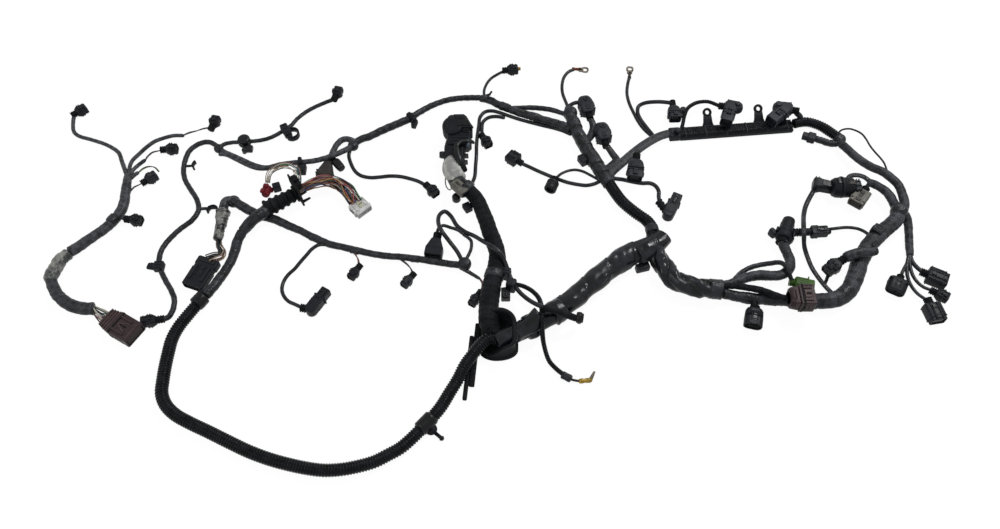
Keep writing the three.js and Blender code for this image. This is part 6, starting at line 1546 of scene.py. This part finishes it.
finish_plug("rail", m, [BLACK, RUBBER, CONDUIT_PLASTIC, TIN])

for node, route, at_start, heading, crimp in (
    ("ring_terminal_1", "ring_lead1", 0, -3, COPPER),
    ("ring_terminal_2", "ring_lead2", 1, 83, GREY),
):
    m = seated(route, at_start, heading)
    m.rod([(0, 6), (3.6, 6), (4.4, 5), (6, 4.6), (7.4, 5.2), (8.6, 4.6), (10.6, 5.2), (12, 4.2)], z=3, slot=1)
    m.block(10, 4.8, 1.8, 9, 0, 1.1, 0.5)
    eye(m, 12.6, 6.5, 2, 21.75, 1, square=0.12)
    m.block(7, 9, 1.8, 11, 0, 1.1, 0.5)
    finish_plug(node, m, [TIN, crimp])

m = Moulding(-318, 46, 2, 33, 3)
x = np.linspace(-3, 47, 101)
wide = 24.6 - 0.1 * x + (2.6 - 0.02 * x) * np.tanh(2.2 * np.cos(2 * np.pi * (x + 0.3) / 10))
m.rod([(-3.4, 22)] + list(zip(x, wide)) + [(49, 22)], z=15)
flange = m.at(48, 0)
flange.block(3, 34, 44, 0, bevel=1.2)
flange.block(1.4, 28, 36, 2.6, 0, 4, 0.6)
flange.rod([(-3, 26), (0.5, 28)], z=15)
for z, length in ((6, 14), (24, 12)):
    flange.block(length, 4.6, 3.6, 1, -14, z, 0.8, taper=0.5)
flange.block(2.4, 9, 9, 0.3, 10, 37, 1)
flange.block(13, 24, 14, -1, 3, 27, 3)
flange.block(9, 12, 6, 2, 5, 39, 2)
finish_plug("ribbed_boot", m, [RUBBER, RUBBER])

m = Moulding(0, 0)
CUP_X, CUP_Y, FRONT_Y, FLATTENED = 25, -170, -178, 0.62
cup = m.at(CUP_X, CUP_Y, 0, 0, 90)
levels = [(0.4, 74, 50), (2.4, 78, 54), (6.6, 78, 54), (8.6, 72, 48), (12, 70, 46), (22, 68, 44),
    (31, 67, 43)]
levels += [(33, 71, 47), (35.6, 74, 49), (37.6, 72, 47), (38, 68, 43), (37, 64, 39), (34, 61, 36),
    (12, 61, 36)]
cup.loft([(z, 0, 0, w, d, d / 2 - 1) for z, w, d in levels], 0, 10)
# the rim sinks towards the lower left, where the conduit leaves over it, and the front wall is flattened
points = m.shapes[-1][0]
towards = np.clip(((CUP_X - points[:, 0]) * 0.95 + (CUP_Y - points[:, 1]) * 0.3) / 24, 0, 1)
points[:, 2] *= 1 - 0.78 * towards**2 * (3 - 2 * towards)
front = points[:, 1] < FRONT_Y
points[front, 1] = FRONT_Y + FLATTENED * (points[front, 1] - FRONT_Y)
edge = m.at(-11, -188, 0, -5)
edge.block(8, 95, 6.3, 0, 0, 0, 1.4)
edge.block(6, 95, 6.3, -6, -20, 0, 1.4)
for y in np.arange(-40, 42, 9):
    edge.block(7, 1.6, 0.8, 0.5, y, 6.1, 0.3)
finish_plug("grommet_shell", m, [RUBBER, GREY])

# %% [markdown]
# ## Clips, bands and lumps
# A loom is held by small things: tie bands, edge clips, fir-tree studs, and lumps of tape where branches
# meet. They sit on their looms, so each one is placed at a point of a route, and they are what makes the
# harness look used and real.

# %% Clips and bands


def lump(m, diameter, height, slot=0):
    """A wad of tape round a joint: a turned bun that is widest at half its height."""
    t = np.linspace(0.12, np.pi - 0.12, 9)
    m.post([(height * (1 - np.cos(a)) / 2, diameter * np.sin(a) ** 0.55) for a in t], slot=slot)


def clip(m, length, width, height, slot=1):
    """An edge clip: a saddle, a head block and a barbed stud beside it."""
    m.block(length, width, height, -length / 2, bevel=1.2, slot=slot)
    m.block(length * 0.5, width + 2, height * 0.4, -length / 4, 0, height * 0.5, 0.7, slot)
    for i in (0, 1, 2):
        m.block(1.4, width * (0.8 - 0.15 * i), 1.2, -length / 3 + i * length / 3, 0, height - 0.4, 0.4, slot)


def hook(m, radius, height, sweep, slot=1, thick=2.6):
    """An open ring of strip: points radius (cos a, sin a) over part of a turn, in the table's plane."""
    a = np.radians(np.linspace(sweep[0], sweep[1], 18))
    centre = np.stack([radius * np.cos(a), radius * np.sin(a)], -1)
    out = np.stack([np.cos(a), np.sin(a)], -1)
    corners = [(-1, 0), (1, 0), (1, 1), (-1, 1)]
    points = np.stack(
        [np.column_stack([centre + out * i * thick / 2, np.full(len(a), j * height)]) for i, j in corners], 1
    )
    quads, caps = grid_faces(len(a), 4)
    m.shapes.append((points.reshape(-1, 3) @ m.turn.T + m.origin, quads, caps, slot))


def band(m, route, i, diameter, style="tape", slot=0):
    """A collar of tape or a clamp round a loom, from one route point to the next."""
    m.strand(ROUTES[route][i : i + 2], diameter, style, slot, seed=i + 3)


# the slot numbers of the small parts count along this list
LOOM_SET = [TAPE, BLACK, SATIN_BLACK, RED_RUBBER, GREY, BRASS, SHINY_TAPE, TIN, AGED_VINYL, FLEECE, ASH]


def small_parts(name, node):
    """Opens a moulding in the harness's own frame; returns it with the function that closes it."""
    m = Moulding(0, 0)

    def close():
        made = mesh_object(name, m.shapes, LOOM_SET)
        made.modifiers.new("even_normals", "WEIGHTED_NORMAL")
        keep(made, node)

    return m, close


print("finishes of the small parts:", len(LOOM_SET))

# %% [markdown]
# ## Small parts on the left and on top
# Here are the bands of the left trunk, the hooks and studs on the branch to the cabin, the fan-shaped end
# of the upper loom and the bands of the run that crosses to the right.

# %% Left and upper looms
m, close = small_parts("clips_left", "left_loom")
band(m, "left_trunk", 5, 17.5)
band(m, "left_trunk", 1, 14.5)
close()

m, close = small_parts("clips_sensor", "sensor_loom")
lump(m.at(-415, 169), 15, 12)
clip(m.at(-464, -49, 0, 90), 14, 14, 11)
clip(m.at(-476, -47, 0, 170), 13, 10, 5)
m.at(-458, 136, 2, 5).block(12, 3.4, 3.4, -5, bevel=0.8, slot=1)
hook(m.at(-441, 137, 1), 9, 7, (130, 230))
m.at(-405, 56, 2).block(14, 4, 6, -7, bevel=1, slot=1)
hook(m.at(-404, 50, 1), 7.5, 8, (-20, 200))
bun = m.at(-377, 184)
bun.post([(0, 15), (1, 20), (4, 21), (6, 18.4), (8, 20), (12, 19), (14, 12)], slot=2)
bun.block(13, 11, 8, 2, -14, 0, 1.4, 2)
bun.post([(0, 7), (7, 7), (9, 5)], 2, -18)
clip(m.at(-314, 206, 0, 120), 24, 12, 11)
hook(m.at(-303, 199, 1), 10, 9, (-130, 130))
close()

m, close = small_parts("clips_upper", "upper_loom")
lump(m.at(-204, 174), 17, 14)
clip(m.at(-284, 142, 0, 5), 6, 13, 12)
m.at(-280, 128).block(14, 16, 9, -7, bevel=1.2, slot=1)
m.at(-280, 128, 9).block(9, 10, 1.2, -5, bevel=0.5, slot=2)
clip(m.at(-115, 230, 0, 45), 8, 18, 15)
clip(m.at(-110, 221, 0, 75), 14, 8, 9)
fan = m.at(-239, 147, 0, -98)
fan.loft([(0, 0, 6, 11, 10, 4), (8, 0, 6.2, 14, 11, 5), (20, 0, 6.3, 23, 12, 6), (29, 0, 6.3, 28, 12.6, 6)]
         + [(33, 0, 6.2, 27, 12, 6), (36, 0, 6, 22, 9, 4)], 4, 6)
fan.ribs((25, 30), 25, 11, 1, 1.6, 2, 4)
cap = m.at(-236, 152, 0, -52)
cap.rod([(0, 7), (9, 9), (11, 12), (13, 13.6), (24, 13.6), (30, 12), (31, 8)], z=6.8, slot=2)
close()

m, close = small_parts("clips_cross", "cross_loom")
m.at(12, 269, 0, 65).block(5, 14, 14, -2.5, bevel=1.2, slot=1)
m.at(4, 284, 1, 20).block(16, 3.4, 3, -8, bevel=0.6, slot=1)
m.at(10, 287, 1, 60).block(9, 3, 3, -2, bevel=0.6, slot=1)
for i in (2, 5, 8):
    band(m, "cross", i, 14.2)
close()

# %% [markdown]
# ## Small parts in the middle
# The middle has the most of them: what hangs below the bare sleeve, the clamps of the long conduit, the
# red seals of the coloured wires, and the tip of the ground lead.

# %% Middle looms
# below the sleeve a pale plug with a round dark cap is tied to the trunk, and a thin wire loops out
m, close = small_parts("clips_control", "control_loom")
band(m, "ecu_trunk", 0, 27)
m.strand([(-42, 101, 7), (-37, 92, 8), (-31, 84, 8), (-26, 78, 7)], 25, "tape", 0, (0.95, 1, 1, 1.02))
cap = m.at(-25, 86, 23, 58, 40)
cap.rod([(-8, 11), (-6, 13), (6, 14), (7, 12.4), (7, 9.6), (2, 9.4)], z=5, slot=2)
for side in (-3, 0, 3):
    cap.rod([(1, 1.6), (6, 1.8), (6.6, 1.2)], side, 5, 10)
shoe = m.at(-42, 87, 20, -48)
shoe.block(28, 18, 13, 0, bevel=2, slot=10)
shoe.block(12, 12, 2, 4, 0, 12.6, 0.8, 10)
shoe.block(3, 13, 8, 26, 0, 2.5, 0.6, 1)
shoe.block(9, 4, 0.8, 6, -1, 14.4, 0.3, 4)
m.strand([(-55, 117, 10), (-57, 106, 4), (-54, 95, 1), (-49, 91, 1), (-46, 96, 4)], 1.8, "cable", 8)
knob = m.at(-39, 72, 2)
knob.post([(0, 11), (1, 13), (9, 13), (11, 11), (12, 8), (14, 7)], slot=2)
clip(m.at(-22, 56, 0, -60), 14, 12, 10)
band(m, "ecu_trunk", 9, 29, "cable", 0)
m.strand([(11, -140, 12), (12, -150, 11), (16, -158, 8), (20, -163, 4)], 27, "cloth", 9, (1.03, 1, 0.92))
close()

m, close = small_parts("clamps_conduit", "loop_conduit")
m.strand([(-60, -280, 0), (-68, -290, 0), (-77, -300, 0)], 21.4, "cable", 2, (0.97, 1, 0.97))
stud = m.at(-62, -296, 0, -40)
stud.post([(3, 14), (3.6, 16), (5, 16), (6, 13), (10, 6)], slot=1)
stud.rod([(0, 5), (14, 5), (14.4, 7), (16, 7), (17, 5), (18, 4)], z=3, x=3, slot=1)
m.strand(ROUTES["conduit"][-2:], 22.4, "tape", 2, (0.96, 1, 0.96))
clip(m.at(-393, -96, 0, 20), 10, 12, 12)
close()

m, close = small_parts("seals_firewall", "colour_bundle")
red = m.at(-327, 84, 0, 80)
red.rod([(-9, 9), (-7, 12), (0, 13.4), (7, 12), (9, 8)], z=8.4, slot=3)
knobs = [(-5, 12, -8, 5), (4, 14.6, -5, 6), (0, 5, 0, 6), (6, 8, 2, 5), (-6, 7, 4, 6), (0, 15.4, 5, 4.6),
    (5, 12, 7, 4)]
for y, z, x, d in knobs:
    red.rod([(-3.4, 0.5 * d), (-2.6, d), (1.4, d + 0.8), (3, d), (3.6, 0.6 * d)], y, z, 3, x)
clip(m.at(-313, 92, 0, 20), 12, 9, 15)
m.strand([(-232, 98, 3), (-222, 97, 2), (-213, 90, 1), (-206, 81, 0)], 17, "foil", 6, (0.6, 1, 1, 0.5))
close()

m, close = small_parts("lumps_injector", "injector_loom")
lump(m.at(-375, 66), 20, 13)
lump(m.at(-24, -46), 20, 16)
for i in (7, 11, 17):
    band(m, "injector", i, 13.4 - 0.2 * i)
close()

m, close = small_parts("clips_loop", "loop_lead")
clip(m.at(36, -64, 0, 75), 12, 12, 20)
close()
clamp = Moulding(131, -142, 16, -10)
clamp.rod([(0, 12), (1, 15), (3, 16), (7, 16), (8, 13.6), (10, 13), (10.4, 8), (9, 7.6)], z=8)
clamp.post([(-4, 7), (12, 8), (13, 6)], 5, slot=1)
finish_clamp = mesh_object("clamp_bolt", clamp.shapes, [SATIN_BLACK, GREY])
keep(finish_clamp, "loop_lead")

m, close = small_parts("clips_ground", "ground_lead")
m.at(36, -82, 0, -15).block(14, 13, 23, 0, bevel=2, slot=1)
clip(m.at(42, -83, 0, -15), 10, 14, 14)
clip(m.at(35, -96), 13, 17, 13, 2)
m.at(110, -219, 0, -30).rod([(0, 9), (1, 11), (6, 10.4), (12, 11), (14, 9)], z=5.5, slot=0)
close()
tip = Moulding(0, 0)
tip.strand(ROUTES["bare_wire"], 3.5, "cable", 0)
tip.at(132, -228, 0, 5).rod([(0, 4), (1, 6.6), (6, 7), (7, 5.6), (11, 6.6), (15, 6.8), (18, 4)], z=3.8,
    slot=1)
tip.at(147, -227, 1, 60, 20).block(15, 6, 1.2, 0, 0, 1, 0.4, 2, taper=0.5)
keep(mesh_object("tip_ground", tip.shapes, [GREY, BRASS, TIN]), "ground_lead")

# %% [markdown]
# ## Joints on the right
# Where branches meet, extra turns of tape and slack foil hide the joint, and they are thicker than the
# looms that they join.

# %% Right side joints
m, close = small_parts("joints_foil", "foil_trunk")
inner = [(20, -178, 11), (34, -171, 11), (50, -163, 12), (66, -154, 14), (82, -145, 15)]
m.strand(inner, 25, "foil", 6, (0.9, 0.95, 1.05, 1.2), 81)
m.strand([(222, -38, 2), (237, -29, 1), (252, -18, 1), (266, -4, 2)], 33, "foil", 6, (0.8, 1, 1, 0.8), 61)
m.strand(ROUTES["twist"][6:], 29.4, "tape", 0, (0.96, 1, 1))
clip(m.at(232, -51, 0, 15), 20, 10, 12)
m.strand([(150, -92, 13), (164, -82, 15), (179, -72, 14), (193, -63, 10)], 16, "foil", 6, (0.3, 1, 0.9, 0.3),
    73)
for i, wide in ((1, 32.4), (3, 33.4)):
    m.strand(ROUTES["foil"][i : i + 2], wide, "foil", 6, (0.93, 1, 0.94), seed=40 + i)
close()

m, close = small_parts("joints_right", "right_trunk")
lump(m.at(617, 38, 8), 25, 25)
lump(m.at(562, 183, 2), 19, 17)
clip(m.at(576, 2, 0, 45), 14, 16, 29)
clip(m.at(592, 6, 0, -45), 12, 8, 13)
end = m.at(526, 189, 0, 160)
end.block(12, 14, 12, 0, bevel=1.2, slot=1)
end.cup(9, 10.4, 10, 11, 0, 1, wall=1.6, depth=5, slot=1)
end.ribs((3, 8), 13, 11, 0.4, 1.4, 1.4, 1)
for i in (3, 7):
    band(m, "right_trunk", i, 23.4)
close()

m, close = small_parts("joints_centre", "centre_trunk")
lump(m.at(140, 238), 23, 21)
box = m.at(157, 146, 0, -60)
clip(box, 16, 14, 13)
for i in (1, 3, 5, 6):
    band(m, "centre", i, 22.4)
band(m, "centre_conduit", 6, 20)
close()

# %% [markdown]
# ## Cords
# A lead with a plug on its end is a free cord. Its length along its path is summed, and the name of the
# piece on its end is worked out. The short stubs stay plain pieces.

lengths = {}
for name, path, diameter, far_end, plug in cords:
    length = float(np.linalg.norm(np.diff(path, axis=0), axis=1).sum())
    lengths[name] = round(length, 3)
    if plug:
        made = plug.replace("plug_", "connector_") if plug.startswith("plug_") else plug
print("cords:", len(lengths), lengths)

# %% [markdown]
# ## Table and light
# The photograph shows pure white round the harness, with faint soft shadows towards the lower left. The
# table is part diffuse, so it takes the shadows, and part its own glow, so it stays white. The sky is
# white for the camera and for gloss, and weaker where it lights the harness.

# %% Table, sky and lamps
TABLE_SIZE, TABLE_Z = 4, -0.0006
PAPER_GREY, PAPER_GLOW, PAPER_LIGHT = 0.08, 0.945, 0.3
SKY_SEEN, SKY_LIGHT = 1.0, 0.5


def seen_or_lit(tree, seen_strength, light_strength):
    """One strength for camera, glossy and transmission rays, and another for those that light the scene."""
    ray = add(tree, "LightPath").outputs
    seen = add(tree, "Math", {"operation": "MAXIMUM"}, i0=ray["Is Camera Ray"], i1=ray["Is Glossy Ray"])
    seen = add(tree, "Math", {"operation": "MAXIMUM"}, i0=seen.outputs[0], i1=ray["Is Transmission Ray"])
    share = add(tree, "MapRange", Value=seen.outputs[0], To_Min=light_strength, To_Max=seen_strength)
    return share.outputs[0]


table_mesh = bpy.data.meshes.new("table")
corners = [(x * TABLE_SIZE, y * TABLE_SIZE, TABLE_Z) for x, y in ((-1, -1), (1, -1), (1, 1), (-1, 1))]
table_mesh.from_pydata(corners, [], [(0, 1, 2, 3)])
table = bpy.data.objects.new("table", table_mesh)
bpy.context.scene.collection.objects.link(table)
paper = bpy.data.materials.new("white_table")
paper.use_nodes = True
tree = paper.node_tree
tree.nodes.remove(tree.nodes["Principled BSDF"])
glow = add(tree, "Emission", Color=(1, 1, 1, 1),
    Strength=seen_or_lit(tree, PAPER_GLOW, PAPER_LIGHT)).outputs[0]
matt = add(tree, "BsdfDiffuse", Color=(PAPER_GREY, PAPER_GREY, PAPER_GREY, 1)).outputs[0]
both = add(tree, "AddShader", i0=matt, i1=glow).outputs[0]
tree.links.new(both, tree.nodes["Material Output"].inputs["Surface"])
table.data.materials.append(paper)

world = bpy.data.worlds.new("white_room")
world.use_nodes = True
bpy.context.scene.world = world
tree = world.node_tree
background = tree.nodes["Background"]
background.inputs["Color"].default_value = (1, 1, 1, 1)
tree.links.new(seen_or_lit(tree, SKY_SEEN, SKY_LIGHT), background.inputs["Strength"])

# name, place, size, watts
LAMPS = [("key_softbox", (1.1, 1.0, 1.9), 0.6, 34.0), ("fill_softbox", (-1.4, -0.9, 1.8), 1.2, 12.0)]
for name, place, size, watts in LAMPS:
    lamp_data = bpy.data.lights.new(name, "AREA")
    lamp_data.size = size
    lamp_data.energy = watts
    lamp = bpy.data.objects.new(name, lamp_data)
    lamp.location = place
    lamp.rotation_euler = (-Vector(place)).to_track_quat("-Z", "Y").to_euler()
    bpy.context.scene.collection.objects.link(lamp)
bpy.context.scene.view_settings.view_transform = "Standard"
print("lamps:", [name for name, *_ in LAMPS])
